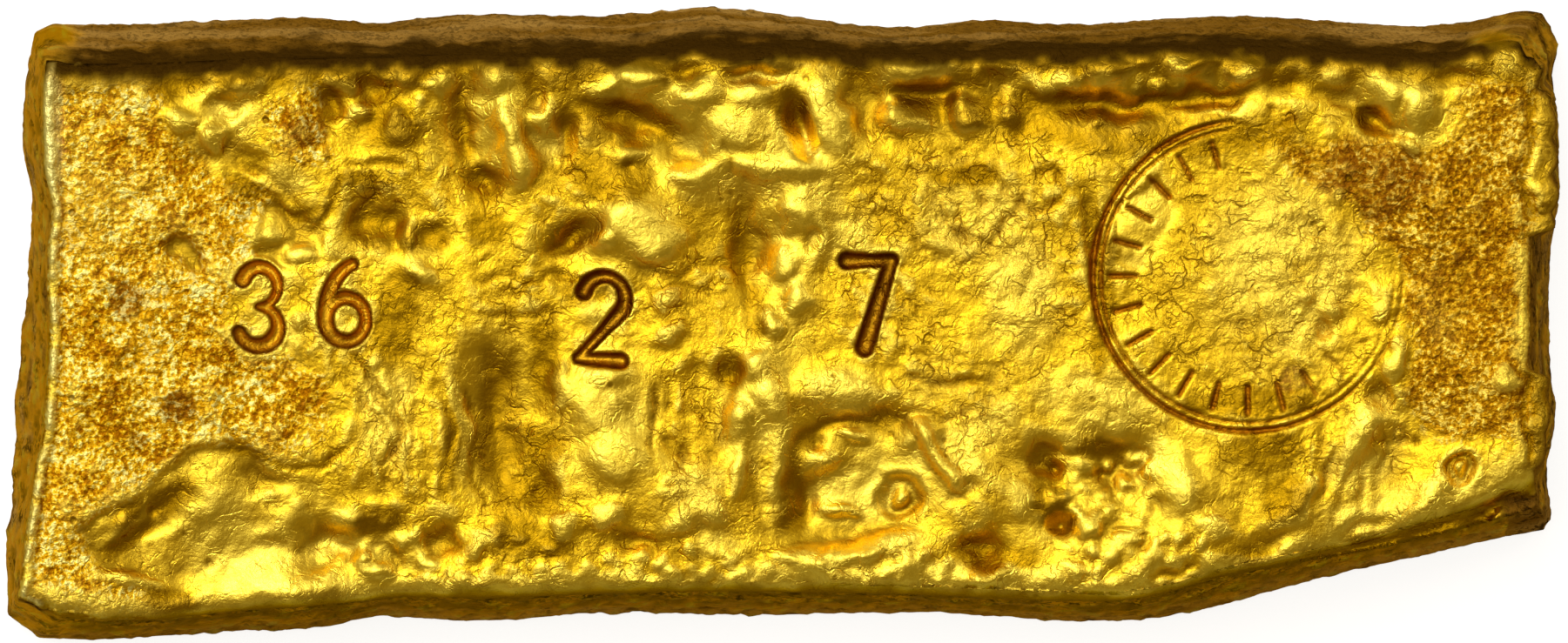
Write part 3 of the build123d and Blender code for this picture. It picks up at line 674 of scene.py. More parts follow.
def makeRelief(tree, rings):  # the upper face as fields over a fine grid: its height and its masks
    pitch = barLayout["reliefPitch"]
    farX, farY = barLayout["reliefReach"]
    grid = {"west": -farX, "south": -farY, "pitch": pitch}
    x, y = np.meshgrid(np.arange(-farX, farX, pitch), np.arange(-farY, farY, pitch))
    height = seenFromAbove(tree, x, y)
    margins = edgeMargins(rings["edge"], x, y)

    # Listed forms, with some waviness in their outlines.
    warped = [axis + castRelief["warp"] * layeredNoise(x, y, 2.2, seed, 2)
              for axis, seed in ((x, 3), (y, 23))]
    zones = {name: zone(*warped, spots) for name, spots in skinZones.items()}
    for formX, formY, along, across, rise, *shape in reliefForms:
        height += castRelief["forms"] * rise * blob(*warped, (formX, formY, along, across, *shape), 1.5)
    smooth = zones["glossy"]
    for depth, soft, opening, points in sunkenAreas:
        inside = insideDistance(*warped, points)
        middleX, middleY = np.mean(points, axis=0)
        softness = soft + opening * ease((x - middleX) - (y - middleY), -3, 5)
        height -= depth * ease(inside, -softness, softness)
        smooth = np.maximum(smooth, ease(inside, -0.3, 0.3))
    for pitX, pitY, radius, depth, dome in ringPits:
        far = np.hypot(warped[0] - pitX, warped[1] - pitY) / radius
        for rise, middle, half in ((-depth, 0.62, 0.3), (0.4 * depth, 1.1, 0.2), (dome, 0.0, 0.4)):
            height += rise * bell(far - middle, half)
    lines = np.zeros(x.shape)
    for depth, half, points in creases:
        far, share = lineDistance(*warped, points)
        line = bell(far, half) * np.clip(6 * np.minimum(share, 1 - share) + 0.25, 0, 1)
        height -= depth * line
        lines = np.maximum(lines, line)
    for holeX, holeY, radius in pinholes:
        hole = blob(x, y, (holeX, holeY, radius, radius), 1.5)
        height -= 1.2 * radius * hole
        lines = np.maximum(lines, hole)

    # Which skin each place has.
    patchy = layeredNoise(x, y, 3.0, 41, 3)
    frosted = {name: ease(insideDistance(*warped, points) + 0.9 * patchy, -0.5, 0.7)
               for name, points in frostAreas.items()}
    eastFrost = frosted["east"] * (1 - smooth)
    frost = np.maximum(np.maximum(frosted["west"], frosted["island"]) * (1 - smooth), eastFrost)
    skins = {name: ease(zones[name] + ragged * patchy, low, high)
             for name, (ragged, low, high) in skinBorders.items()}
    bare = (1 - frost) * (1 - smooth)
    crackled = np.maximum(castRelief["leastCrackled"], skins["crackled"]) * bare
    folded = zones["folded"] * (1 - frost)

    # Waves of every size, the crust with its creases, the folds and the drops.
    height += castRelief["swells"] * layeredNoise(x, y, 5.0, 61, 2)
    height += (0.05 + 0.06 * smooth) * noise(*warped, 2.1, 71)
    height += (0.05 - 0.02 * smooth) * layeredNoise(x, y, 1.1, 77, 2)
    height += crackled * castRelief["crust"] * layeredNoise(*warped, 1.7, 81, 3, billow)
    foldX = warped[0] + 0.25 * noise(x, y, 1.6, 95)
    height += folded * castRelief["folds"] * layeredNoise(foldX, warped[1] * 0.33, 1.1, 91, 3, billow)
    height += frost * castRelief["frost"] * layeredNoise(x, y, 0.7, 97, 2)
    drops = castRelief["drops"] * droplets(x, y, 1.3, 101)
    drops = drops + castRelief["smallDrops"] * droplets(x, y, 0.75, 131)
    height += skins["dropped"] * drops
    height += smooth * castRelief["glossyDrops"] * droplets(x, y, 1.0, 141)

    # The edges: a bead along the west, and the turn down into the flanks.
    broadFrom, broadTo = castRelief["broadBead"]
    broad = ease(y, broadFrom, broadFrom + 2.0) * ease(broadTo - y, 0, 1)
    gaps = ease(layeredNoise(y, x * 0, 1.5, 111, 2) + 0.8 * broad, -0.15, 0.1)
    wander = 0.14 * layeredNoise(y, x * 0, 1.4, 113, 3)
    beadHalf = castRelief["beadHalf"] + castRelief["broadBeadHalf"] * broad
    bead = bell(margins["west"] - castRelief["beadMargin"] - wander, beadHalf) * gaps
    height += (castRelief["bead"] + 1.2 * wander) * bead
    height -= castRelief["beadGroove"] * bell(margins["west"] - 0.85, 0.2)
    for side, radius in barLayout["edgeFillet"].items():
        reach = radius * (1 + 0.3 * noise(x, y, 2.5, 121))
        inside = np.clip(1 - margins[side] / reach, 0, 1)
        height -= reach * (1 - np.sqrt(1 - inside * inside))

    # The marks, struck last.
    digits = strikeDigits(x, y)
    border, ticks = strikeDie(x, y)
    levelled = blur(height, 5)
    height += (levelled - height) * ease(digits, 0.0, 0.35)
    struck = np.clip(digits, 0, 1)
    height = height - digitStyle["depth"] * struck ** 0.8 + castRelief["digitRim"] * bell(digits + 0.25, 0.22)
    dieField = blob(x, y, (*die["middle"], die["fieldReach"], die["fieldReach"]), 6)
    height += (levelled - height) * 0.5 * (dieField * ease(die["fieldEast"] - x, 0, 9))
    height = height - die["borderDepth"] * border - die["tickDepth"] * ticks
    slantedRim = blob(x, y, die["slantedRim"])
    height -= castRelief["slantedRim"] * slantedRim
    lines = np.maximum(lines, 0.8 * slantedRim)
    over = np.maximum(0, height - barLayout["softTop"])
    height = height - over + barLayout["topRoom"] * np.tanh(over / barLayout["topRoom"])

    # Tarnish, painted shadow and painted shade creep in over the edges.
    creep = 1 + 0.6 * layeredNoise(x, y, 1.8, 151, 3)
    crept = {name: ease(wander * creep + reach - margins[side], -soft, soft)
             for name, (side, wander, reach, soft) in edgeCreep.items()}
    plates = np.zeros(x.shape)
    for low, high, _ in eastPlates:
        endwise = ease(y - low, -0.2, 0.3) * ease(high - y, -0.2, 0.3)
        plates = np.maximum(plates, ease(1.1 - margins["east"], -0.2, 0.2) * endwise)
    height += plates * (castRelief["plateLumps"] * droplets(x, y, 1.7, 171) - 0.08)
    # Painted shade: the shaded spots, bands along the south and north edges, and the east plates.
    shadeNorth = crept["shadeNorth"] * (1 - 0.9 * zones["paintedLight"])
    shaded = np.maximum.reduce([skins["shaded"], crept["shadeSouth"], shadeNorth, 0.95 * plates])
    cavity = (height - blur(height, 4)) + 0.7 * (height - blur(height, 9))
    return grid, {
        "height": height,
        "frost": frost,
        "eastFrost": eastFrost,
        "crackled": np.maximum(crackled, 0.7 * folded),
        "smooth": smooth,
        "punched": ease(digits, -0.15, 0.15),
        "struck": struck * np.where(x < -20, 1.0, 0.6),
        "printed": np.clip(1.6 * np.maximum(border, ticks), 0, 1),
        "cavity": np.clip(0.5 + 1.6 * cavity, 0, 1),
        "lines": lines,
        "bead": bead,
        "stained": skins["stained"] * (1 - 0.6 * smooth),
        "tarnish": np.maximum(crept["tarnishEast"], crept["tarnishNorth"]),
        "sootAndShadow": crept["sootAndShadow"],
        "shaded": shaded,
        "paintedLight": zones["paintedLight"] * (1 - shaded) * (1 - 0.8 * frost),
    }


def meshBar(grid, fields, rings):  # vertices, their kinds (1 face, 0 flank, -1 foot), faces and face counts
    along = barLayout["columnsAlong"]
    across = barLayout["columnsAcross"]
    edge = rings["edge"]
    belly = rings["belly"]
    inward = rings["inward"]
    columns = len(edge)

    # The face's grid is stretched between its four sides, and then pulled out to the flash in the east.
    plain = rings["plain"]
    south, east, north, west = sidesOf(plain, 1)
    u = np.linspace(0, 1, along + 1)[None, :, None]
    v = np.linspace(0, 1, across + 1)[:, None, None]
    face = (1 - v) * south[None] + v * north[None] + (1 - u) * west[:, None] + u * east[:, None]
    face = face - (1 - u) * (1 - v) * south[0] - u * (1 - v) * south[-1]
    face = face - (1 - u) * v * north[0] - u * v * north[-1]
    pulled = np.vstack([(edge - plain)[along:along + across], [[0.0, 0.0]]])
    face = face + ease(u, 0.965, 1.0) * pulled[:, None]

    vertices = [(px, py, 0.0) for row in face for px, py in row]
    kinds = [1.0] * len(vertices)
    rowLength = along + 1
    rim = (
        list(range(along))
        + [row * rowLength + along for row in range(across)]
        + [across * rowLength + column for column in range(along, 0, -1)]
        + [row * rowLength for row in range(across, 0, -1)]
    )
    faces = []
    for row in range(across):
        for column in range(along):
            corner = row * rowLength + column
            faces.append((corner, corner + 1, corner + rowLength + 1, corner + rowLength))
    faceCount = len(faces)

    # The flank's rows run down from the rim to the belly and round the foot, and rings close the foot.
    rimHeight = sample(fields["height"], grid, edge[:, 0], edge[:, 1])
    bellyHeight = barLayout["bellyHeight"]
    rows = []
    for row in range(1, barLayout["flankRows"] + 1):
        share = 1 - (row / barLayout["flankRows"]) ** 1.35
        rows.append((bellyHeight + (rimHeight - bellyHeight) * share, share, 0.0, 0.0))
    for height, inset in reversed(barLayout["footRows"]):
        rows.append((np.full(columns, height), 0.0, inset, 0.0))
    footInset = barLayout["footRows"][0][1]
    for ring in barLayout["footRings"]:
        rows.append((np.zeros(columns), 0.0, footInset + ring, -1.0))
    above = rim
    for heights, share, inset, kind in rows:
        places = belly + (edge - belly) * share + inward * inset
        below = list(range(len(vertices), len(vertices) + columns))
        for column in range(columns):
            following = (column + 1) % columns
            vertices.append((places[column, 0], places[column, 1], heights[column]))
            faces.append((above[following], above[column], below[column], below[following]))
        kinds.extend([kind] * columns)
        above = below
    faces.append(tuple(reversed(above)))
    return vertices, kinds, faces, faceCount


def refineMarks(mesh, grid, marks, faceCount):  # the struck marks get a mesh twice as fine
    sharp = blur(np.clip(marks * 3, 0, 1), 2) > 0.12
    edit = bmesh.new()
    edit.from_mesh(mesh)
    edit.faces.ensure_lookup_table()
    marked = []
    for quad in edit.faces[:faceCount]:
        middle = quad.calc_center_median()
        column = int((middle.x - grid["west"]) / grid["pitch"])
        row = int((middle.y - grid["south"]) / grid["pitch"])
        if sharp[row, column]:
            marked.append(quad)
    fineEdges = list({side for quad in marked for side in quad.edges})
    bmesh.ops.subdivide_edges(edit, edges=fineEdges, cuts=1, use_grid_fill=True)
    bmesh.ops.triangulate(edit, faces=[shape for shape in edit.faces if len(shape.verts) in (5, 6, 7)])
    edit.to_mesh(mesh)
    edit.free()


# How far the flanks' relief stands out, and how far all of it is set in.
flankRise = {"runs": 0.12, "rough": 0.11, "drops": 0.08, "setIn": 0.11}


def makeBar():
    tree, rings = castRays()
    print("rays cast")
    grid, fields = makeRelief(tree, rings)
    print("relief made")
    vertices, kinds, faces, faceCount = meshBar(grid, fields, rings)
    mesh = bpy.data.meshes.new("castBar")
    mesh.from_pydata(vertices, [], faces)
    mesh.attributes.new("kind", "FLOAT", "POINT").data.foreach_set("value", kinds)
    refineMarks(mesh, grid, np.maximum(fields["punched"], fields["printed"]), faceCount)

    count = len(mesh.vertices)
    places = np.zeros(count * 3)
    mesh.vertices.foreach_get("co", places)
    x, y, z = places.reshape(-1, 3).T
    kinds = np.zeros(count)
    mesh.attributes["kind"].data.foreach_get("value", kinds)
    mesh.attributes.remove(mesh.attributes["kind"])
    onFace = kinds > 0.5
    onFoot = kinds < -0.5
    masks = {name: sample(field, grid, x, y) for name, field in fields.items()}
    z = np.where(onFace, masks.pop("height"), z)

    # The flanks are wavy, with runs along them.
    bellyHeight = barLayout["bellyHeight"]
    climb = np.clip((z - bellyHeight) / (barLayout["rimHeight"] - bellyHeight), 0, 1)
    sideX = np.clip((np.abs(x) - barLayout["endFrom"]) / 2.0, 0, 1) * np.sign(x)
    sideY = (1 - np.abs(sideX)) * np.sign(y)
    upright = np.clip((z - 0.3) / 1.0, 0, 1) * ~(onFace | onFoot)
    lengthwise = np.where(np.abs(sideX) > 0.5, y, x)
    runs = layeredNoise(lengthwise, z * 4, 3.2, 201, 3)
    rough = layeredNoise(x + z, y + z * 2, 1.1, 221, 3)
    blotches = layeredNoise(lengthwise, z * 1.4, 2.4, 231, 4)
    drops = droplets(lengthwise, z * 1.3, 1.1, 241)
    push = flankRise["runs"] * runs + flankRise["rough"] * rough
    push = push + flankRise["drops"] * drops - flankRise["setIn"]
    x = x + upright * push * sideX
    y = y + upright * push * sideY
    mesh.vertices.foreach_set("co", (np.stack([x, y, z], axis=1) * mm).ravel())
    mesh.update()

    # On the flanks the masks are their own: tarnish all round, painted shadow high on the north and painted
    # shade on the south roll and the east. Under the foot they are even, because its middle is one wide face.
    toWest = np.maximum(0, -sideX)
    toEast = np.maximum(0, sideX)
    toSouth = np.maximum(0, -sideY)
    toNorth = np.maximum(0, sideY)
    southRoll = toSouth * ease(climb + 0.2 * blotches, 0.15, 0.45)
    westGold = toWest * ease(blotches + 0.5 * climb, -0.6, 0.2)
    eastGold = toEast * ease(blotches, -0.3, 0.5)
    flecks = ease(layeredNoise(lengthwise, z * 1.2, 1.3, 251, 3), 0.1, 0.5)
    # a band of painted shade high on the south flank, laid on with the specks
    southRim = toSouth * ease(climb + 0.3 * blotches, 0.5, 0.85) * ease(1.02 - climb, 0.0, 0.15)
    flankMasks = {
        "tarnish": np.clip(1 - 0.9 * southRoll - 0.9 * westGold - 0.7 * eastGold - 0.4 * toSouth, 0, 1),
        "sootAndShadow": toNorth * ease(climb + 0.1 * runs + 0.2 * blotches, 0.4, 0.75),
        "specksAndShade": (toWest + toEast + 0.6 * toSouth) * flecks + 0.8 * southRim,
        "bead": masks["bead"] * ease(climb, 0.85, 1.0),
        "cavity": np.clip(0.42 + 0.7 * rough + 0.3 * drops, 0, 1),
        # painted shade on the south roll and the east flank, and in blotches on the west
        "shaded": np.clip((0.6 - 1.8 * blotches) * southRoll - 0.5 * blotches * toWest
                          + (0.4 - 1.2 * blotches) * toEast, 0, 1),
        "flank": 1.0,
    }
    footMasks = {"tarnish": 1.0, "cavity": 0.5, "flank": 1.0}
    for name in (*masks, "specksAndShade", "flank"):
        values = np.where(onFace, masks.get(name, 0.0), flankMasks.get(name, 0.0))
        masks[name] = np.where(onFoot, footMasks.get(name, 0.0), values)
    masks["rubbed"] = zone(x, y, skinZones["rubbed"])
    masks["climb"] = climb
    for name, values in masks.items():
        mesh.attributes.new(name, "FLOAT", "POINT").data.foreach_set("value", values)
    mesh.shade_smooth()
    print("bar made,", sum(len(shape.vertices) - 2 for shape in mesh.polygons), "triangles")
    return addObject("castBar", mesh)


def addNode(tree, kind, inputs=None, **settings):
    node = tree.nodes.new(kind)
    for name, value in settings.items():
        setattr(node, name, value)
    for name, value in (inputs or {}).items():
        if isinstance(value, bpy.types.NodeSocket):
            tree.links.new(value, node.inputs[name])
        else:
            node.inputs[name].default_value = value
    return node


def addMath(tree, operation, first, second=0.0, clamp=False):
    inputs = {0: first, 1: second}
    return addNode(tree, "ShaderNodeMath", inputs, operation=operation, use_clamp=clamp).outputs[0]


def times(tree, first, second):
    return addMath(tree, "MULTIPLY", first, second)


def plus(tree, first, second, clamp=False):
    return addMath(tree, "ADD", first, second, clamp)


def minus(tree, first, second, clamp=False):
    return addMath(tree, "SUBTRACT", first, second, clamp)


def addMix(tree, factor, first, second):
    inputs = {0: factor, 6: first, 7: second}
    return addNode(tree, "ShaderNodeMix", inputs, data_type="RGBA").outputs[2]


def addRamp(tree, value, low, high):  # 0 below low, 1 above high
    inputs = {"Value": value, "From Min": low, "From Max": high}
    return addNode(tree, "ShaderNodeMapRange", inputs, interpolation_type="SMOOTHSTEP").outputs[0]


def addColourRamp(tree, value, stops):
    node = addNode(tree, "ShaderNodeValToRGB", {"Fac": value})
    elements = node.color_ramp.elements
    elements.remove(elements[1])
    for index, (place, colour) in enumerate(stops):
        element = elements[0] if index == 0 else elements.new(place)
        element.position = place
        element.color = colour
    return node.outputs["Color"]


def addTexture(tree, kind, place, scale, **inputs):
    return addNode(tree, "ShaderNodeTex" + kind, {"Vector": place, "Scale": scale, **inputs}).outputs


def newGroup(name, *outputs):  # a group that takes a place and gives values
    group = bpy.data.node_groups.new(name, "ShaderNodeTree")
    group.interface.new_socket("Place", in_out="INPUT", socket_type="NodeSocketVector")
    for label in outputs:
        group.interface.new_socket(label, in_out="OUTPUT", socket_type="NodeSocketFloat")
    place = group.nodes.new("NodeGroupInput").outputs["Place"]
    return group, place, group.nodes.new("NodeGroupOutput").inputs


def makeGrainGroup():  # fine cast grain: a speckle value, pits and a height
    group, place, result = newGroup("castGrain", "Speckle", "Pits", "Height")
    spots = addTexture(group, "Voronoi", place, 620.0)
    number = addNode(group, "ShaderNodeSeparateColor", {0: spots["Color"]}).outputs[0]
    pits = times(group, addRamp(group, spots["Distance"], 0.16, 0.05), addRamp(group, number, 0.6, 0.7))
    fine = addTexture(group, "Noise", place, 3400.0, Detail=3.0, Roughness=0.65)["Fac"]
    coarse = addTexture(group, "Noise", place, 850.0, Detail=3.0)["Fac"]
    grains = addTexture(group, "Voronoi", place, 2600.0)["Distance"]
    speckle = plus(group, times(group, fine, 0.65), times(group, coarse, 0.35))
    dents = plus(group, times(group, grains, 0.5), pits)
    group.links.new(addRamp(group, speckle, 0.38, 0.62), result["Speckle"])
    group.links.new(pits, result["Pits"])
    group.links.new(minus(group, fine, dents), result["Height"])
    return group


def makeSkinGroup():  # the shrunken skin of the pour: thin wandering creases and their height
    group, place, result = newGroup("shrunkSkin", "Creases", "Height")
    bend = addTexture(group, "Noise", place, 600.0, Detail=4.0)
    shift = {0: bend["Color"], 1: (0.0016, 0.0016, 0.0016)}
    shifted = addNode(group, "ShaderNodeVectorMath", shift, operation="MULTIPLY").outputs[0]
    bent = addNode(group, "ShaderNodeVectorMath", {0: place, 1: shifted}).outputs[0]
    lines = []
    for scale, half in ((520.0, 0.028), (1300.0, 0.03)):
        value = addTexture(group, "Noise", bent, scale, Detail=1.0)["Fac"]
        lines.append(addRamp(group, addMath(group, "ABSOLUTE", minus(group, value, 0.5)), half, 0.0))
    strongest = addMath(group, "MAXIMUM", lines[0], times(group, lines[1], 0.6))
    creases = times(group, strongest, addRamp(group, bend["Fac"], 0.42, 0.58))
    leather = addTexture(group, "Noise", bent, 2300.0, Detail=5.0, Roughness=0.62)["Fac"]
    group.links.new(creases, result["Creases"])
    group.links.new(minus(group, leather, times(group, creases, 0.5)), result["Height"])
    return group


# Colours are linear. The bright colour paints highlights and tints the metal's edges, the bead colour is a
# painted highlight on a polished rim, the shade and hollow colours paint shade, the soot colour is both soot
# and painted shadow, and the pale tarnish is partly painted light.
goldColours = {
    "polished": (0.92, 0.61, 0.035, 1),
    "bright": (1.0, 0.74, 0.08, 1),
    "bead": (1.0, 0.88, 0.3, 1),
    "skin": (0.86, 0.53, 0.015, 1),
    "worn": (1.0, 0.5, 0.03, 1),
    "brown": (0.64, 0.32, 0.004, 1),
    "shade": (0.34, 0.175, 0.001, 1),
    "hollow": (0.36, 0.19, 0.002, 1),
    "stain": (0.22, 0.075, 0.002, 1),
    "punchEdge": (0.14, 0.04, 0.001, 1),
    "punchFloor": (0.74, 0.38, 0.012, 1),
    "printed": (0.3, 0.1, 0.002, 1),
    "tarnish": (0.23, 0.105, 0.008, 1),
    "tarnishPaleAndLit": (0.42, 0.23, 0.045, 1),
    "sootAndShadow": (0.035, 0.015, 0.001, 1),
}
# The frost's mottled colours, dark to pale; the palest stops are painted glints.
frostStops = [(0.0, (0.34, 0.12, 0.001, 1)), (0.35, goldColours["brown"]), (0.7, (0.88, 0.55, 0.02, 1)),
              (1.0, (1.0, 0.88, 0.26, 1))]
eastFrostStops = [(0.0, (0.26, 0.095, 0.001, 1)), (0.4, (0.46, 0.21, 0.003, 1)), (0.8, (0.7, 0.38, 0.01, 1)),
                  (1.0, (1.0, 0.72, 0.1, 1))]
# The base roughness, and how high the bumps stand in metres.
goldFinish = {"roughness": 0.3, "bumpHeight": 0.0001}


def addLayers(tree, colour, rows):  # each row lies over the last: where, how strongly, and which colour
    for where, strength, name in rows:
        colour = addMix(tree, times(tree, where, strength), colour, goldColours[name])
    return colour


def makeGold(grainGroup, skinGroup):
    material = bpy.data.materials.new("castGold")
    material.use_nodes = True
    tree = material.node_tree
    tree.nodes.clear()
    place = addNode(tree, "ShaderNodeTexCoord").outputs["Object"]
    grain = addNode(tree, "ShaderNodeGroup", {"Place": place}, node_tree=grainGroup).outputs
    skin = addNode(tree, "ShaderNodeGroup", {"Place": place}, node_tree=skinGroup).outputs
    names = ("frost", "eastFrost", "crackled", "smooth", "punched", "struck", "printed", "cavity", "lines",
             "bead", "stained", "tarnish", "sootAndShadow", "shaded", "paintedLight", "flank", "specksAndShade", "rubbed", "climb")
    mask = {name: addNode(tree, "ShaderNodeAttribute", attribute_name=name).outputs["Fac"] for name in names}
    patches = addTexture(tree, "Noise", place, 240.0, Detail=5.0)["Fac"]
    speckle = grain["Speckle"]

    # The face's metal, and the layers over it: frost patches, stains, painted shade and painted highlights.
    colour = addMix(tree, mask["smooth"], goldColours["skin"], goldColours["polished"])
    mottled = plus(tree, speckle, times(tree, minus(tree, patches, 0.5), 1.1), True)
    frostColour = addMix(tree, mask["eastFrost"], addColourRamp(tree, mottled, frostStops),
                         addColourRamp(tree, mottled, eastFrostStops))
    colour = addMix(tree, mask["frost"], colour, frostColour)
    unbroken = minus(tree, 1.0, times(tree, speckle, 0.5))
    sunk = addRamp(tree, mask["cavity"], 0.47, 0.05)
    colour = addLayers(tree, colour, [
        (mask["flank"], 1.0, "worn"),
        (times(tree, mask["frost"], addRamp(tree, patches, 0.55, 0.7)), 0.5, "brown"),
        (times(tree, mask["stained"], unbroken), 1.0, "stain"),
        # painted shade in the skin's creases and in hollows
        (times(tree, mask["crackled"], skin["Creases"]), 0.75, "hollow"),
        (sunk, 0.75, "hollow"),
        # painted highlights on raised places and on the spots of painted light
        (addRamp(tree, mask["cavity"], 0.55, 0.9), 0.8, "bright"),
        (times(tree, mask["paintedLight"], addRamp(tree, patches, 0.3, 0.55)), 0.8, "bright"),
        # painted shade in the shaded spots and bands, in the pits and along the lines
        (mask["shaded"], 0.88, "shade"),
        (times(tree, grain["Pits"], minus(tree, 1.0, mask["struck"], True)), 0.7, "hollow"),
        (mask["lines"], 0.75, "hollow"),
        # the bead: a polished rim, with a painted highlight
        (mask["bead"], 1.0, "bead"),
    ])
    # The punched strokes are dark at their edges and lighter along their deep middles, in patches.
    punchFloorShare = times(tree, addRamp(tree, mask["struck"], 0.2, 0.8), addRamp(tree, patches, 0.2, 0.6))
    punch = addMix(tree, punchFloorShare, goldColours["punchEdge"], goldColours["punchFloor"])
    colour = addMix(tree, mask["punched"], colour, punch)
    # The die's marks, then painted shadow along the north edge of the face.
    colour = addLayers(tree, colour, [(mask["printed"], 1.0, "printed"), (mask["sootAndShadow"], 0.6, "hollow")])

    # The mould's tarnish on the flanks, rubbed off here and there, with painted light low down and painted
    # shadow high on the north.
    stretched = addNode(tree, "ShaderNodeMapping", {"Vector": place, "Scale": (0.3, 0.3, 2.5)}).outputs[0]
    runs = addTexture(tree, "Noise", stretched, 330.0, Detail=6.0)["Fac"]
    # The tarnish is paler in its runs, most of all low on the flank, where the paleness is painted light.
    paler = times(tree, addRamp(tree, runs, 0.4, 0.62), addRamp(tree, mask["climb"], 0.9, 0.1))
    flank = addLayers(tree, goldColours["tarnish"], [
        (paler, 1.0, "tarnishPaleAndLit"),
        (addRamp(tree, speckle, 0.5, 0.0), 0.5, "sootAndShadow"),
        # painted shadow high on the north flank
        (mask["sootAndShadow"], 0.9, "sootAndShadow"),
    ])
    worn = times(tree, mask["rubbed"], addRamp(tree, patches, 0.4, 0.5))
    tarnish = minus(tree, mask["tarnish"], addMath(tree, "MAXIMUM", worn, mask["bead"]), True)
    colour = addMix(tree, tarnish, colour, flank)
    # Black specks on the flanks, and the band of painted shade high on the south flank.
    speckled = times(tree, mask["specksAndShade"], addRamp(tree, speckle, 0.75, 0.25))
    colour = addLayers(tree, colour, [(speckled, 0.85, "sootAndShadow")])

    rough = goldFinish["roughness"]
    for where, more in ((mask["frost"], 0.15), (mask["crackled"], 0.07), (sunk, 0.08), (tarnish, 0.45)):
        rough = plus(tree, rough, times(tree, where, more))
    frostHeight = times(tree, plus(tree, mask["frost"], 0.25), grain["Height"])
    skinHeight = times(tree, plus(tree, mask["crackled"], 0.45), skin["Height"])
    runsHeight = times(tree, tarnish, plus(tree, runs, grain["Height"]))
    heights = plus(tree, plus(tree, frostHeight, skinHeight), runsHeight)
    bump = addNode(tree, "ShaderNodeBump", {"Height": heights, "Strength": 1.0,
                                            "Distance": goldFinish["bumpHeight"]})
    shader = addNode(tree, "ShaderNodeBsdfPrincipled", {
        "Base Color": colour, "Roughness": rough, "Metallic": minus(tree, 1.0, tarnish),
        "Specular IOR Level": 0.0, "Specular Tint": goldColours["bright"], "Normal": bump.outputs["Normal"]})
    output = addNode(tree, "ShaderNodeOutputMaterial")
    tree.links.new(shader.outputs["BSDF"], output.inputs["Surface"])
    return material


bar = makeBar()
bar.data.materials.append(makeGold(makeGrainGroup(), makeSkinGroup()))
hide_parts("ingot")
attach(bar, "root")
print("bar dressed")

# The camera looks straight down from far off, and its frame is as wide as the photograph's.
view = {"frameWidth": 90.05, "middle": (0.05, 0.1), "distance": 1400.0, "sensor": 36.0}
cameraData = bpy.data.cameras.new("viewFromAbove")
cameraData.sensor_width = view["sensor"]
cameraData.lens = view["sensor"] * view["distance"] / view["frameWidth"]
camera = addObject("viewFromAbove", cameraData)
camera.location = (view["middle"][0] * mm, view["middle"][1] * mm, view["distance"] * mm)
bpy.context.scene.camera = camera

# A pale floor. What the camera sees of it glows, so that it stays light under the bar's edge.
floorStyle = {"half": 1500.0, "colour": (0.35, 0.35, 0.35, 1), "roughness": 0.9, "glow": 0.85}
half = floorStyle["half"] * mm
floorMesh = bpy.data.meshes.new("floor")
corners = [(-half, -half, 0), (half, -half, 0), (half, half, 0), (-half, half, 0)]
floorMesh.from_pydata(corners, [], [(0, 1, 2, 3)])
floor = addObject("floor", floorMesh)
floorMaterial = bpy.data.materials.new("paleFloor")
floorMaterial.use_nodes = True
floorTree = floorMaterial.node_tree
floorShader = floorTree.nodes["Principled BSDF"].inputs
floorShader["Base Color"].default_value = floorStyle["colour"]
floorShader["Roughness"].default_value = floorStyle["roughness"]
floorShader["Emission Color"].default_value = (1, 1, 1, 1)
cameraSees = addNode(floorTree, "ShaderNodeLightPath").outputs["Is Camera Ray"]
floorTree.links.new(times(floorTree, cameraSees, floorStyle["glow"]), floorShader["Emission Strength"])
floorMesh.materials.append(floorMaterial)

lights = {
    "keyLight": {"place": (-330, 420, 640), "size": 110, "power": 0.9},
    "rimLight": {"place": (420, 260, 300), "size": 160, "power": 0.25},
}
for name, setting in lights.items():
    lightData = bpy.data.lights.new(name, "AREA")
    lightData.shape = "DISK"
    lightData.size = setting["size"] * mm
    lightData.energy = setting["power"]
    light = addObject(name, lightData)
    light.location = Vector(setting["place"]) * mm
    light.rotation_euler = light.location.to_track_quat("Z", "Y").to_euler()

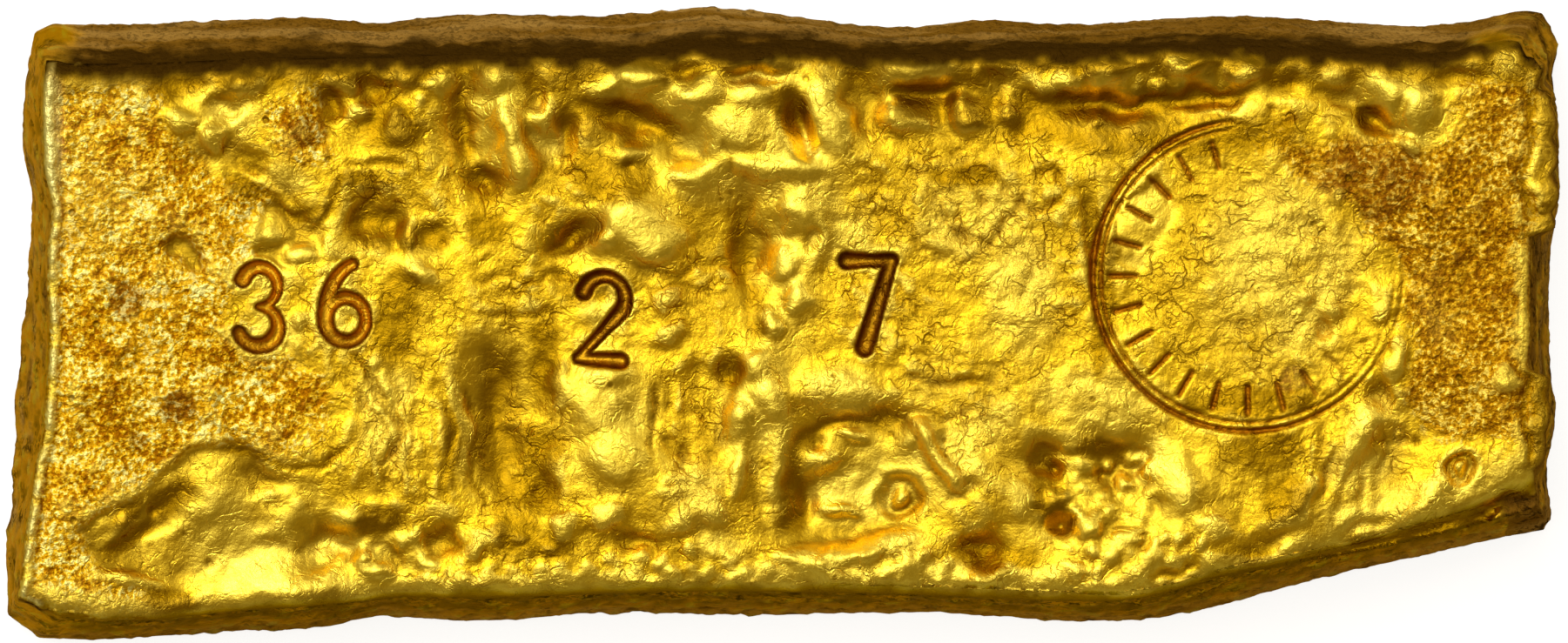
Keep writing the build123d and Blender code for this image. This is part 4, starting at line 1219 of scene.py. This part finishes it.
# The studio's dome is brightest around one direction and falls off to dark, warm walls. The camera sees it
# plain. Each step is its place, its brightness, and its share of the warm tint.
dome = {
    "brightTowards": (-0.34, 0.42, 0.84),
    "steps": [(0.0, 0.17, 1.0), (0.4, 0.22, 1.0), (0.6, 0.33, 0.9), (0.72, 0.54, 0.6), (0.8, 0.84, 0.25),
              (0.86, 1.13, 0.0), (0.93, 1.8, 0.0), (1.0, 3.2, 0.0)],
    "warmth": (1.1, 0.82, 0.22),
    "wall": (0.5, 0.44, 0.3),
    "wallTop": 0.4,
    "backdrop": 1.0,
}
world = bpy.data.worlds.new("studio")
world.use_nodes = True
worldTree = world.node_tree
worldTree.nodes.clear()
sky = addNode(worldTree, "ShaderNodeTexCoord").outputs["Generated"]
towards = {0: sky, 1: Vector(dome["brightTowards"]).normalized()}
facing = addNode(worldTree, "ShaderNodeVectorMath", towards, operation="DOT_PRODUCT").outputs["Value"]
highest = dome["steps"][-1][1]
steps = []
for place, value, warm in dome["steps"]:
    colour = [value / highest * (1 - warm + warm * channel) for channel in dome["warmth"]]
    steps.append((place, (*colour, 1)))
upward = addNode(worldTree, "ShaderNodeSeparateXYZ", {0: sky}).outputs["Z"]
wallColour = (*[channel / highest for channel in dome["wall"]], 1)
wallShare = addRamp(worldTree, upward, dome["wallTop"], 0.0)
domeColour = addMix(worldTree, wallShare, addColourRamp(worldTree, facing, steps), wallColour)
domeLight = addNode(worldTree, "ShaderNodeBackground", {"Color": domeColour, "Strength": highest}).outputs[0]
plain = {"Color": (1, 1, 1, 1), "Strength": dome["backdrop"]}
backdrop = addNode(worldTree, "ShaderNodeBackground", plain).outputs[0]
seen = addNode(worldTree, "ShaderNodeLightPath").outputs["Is Camera Ray"]
bothSkies = addNode(worldTree, "ShaderNodeMixShader", {0: seen, 1: domeLight, 2: backdrop}).outputs[0]
addNode(worldTree, "ShaderNodeOutputWorld", {"Surface": bothSkies})
bpy.context.scene.world = world
bpy.context.scene.view_settings.view_transform = "Standard"
bpy.context.scene.view_settings.look = "None"
print("camera, floor and lights set")
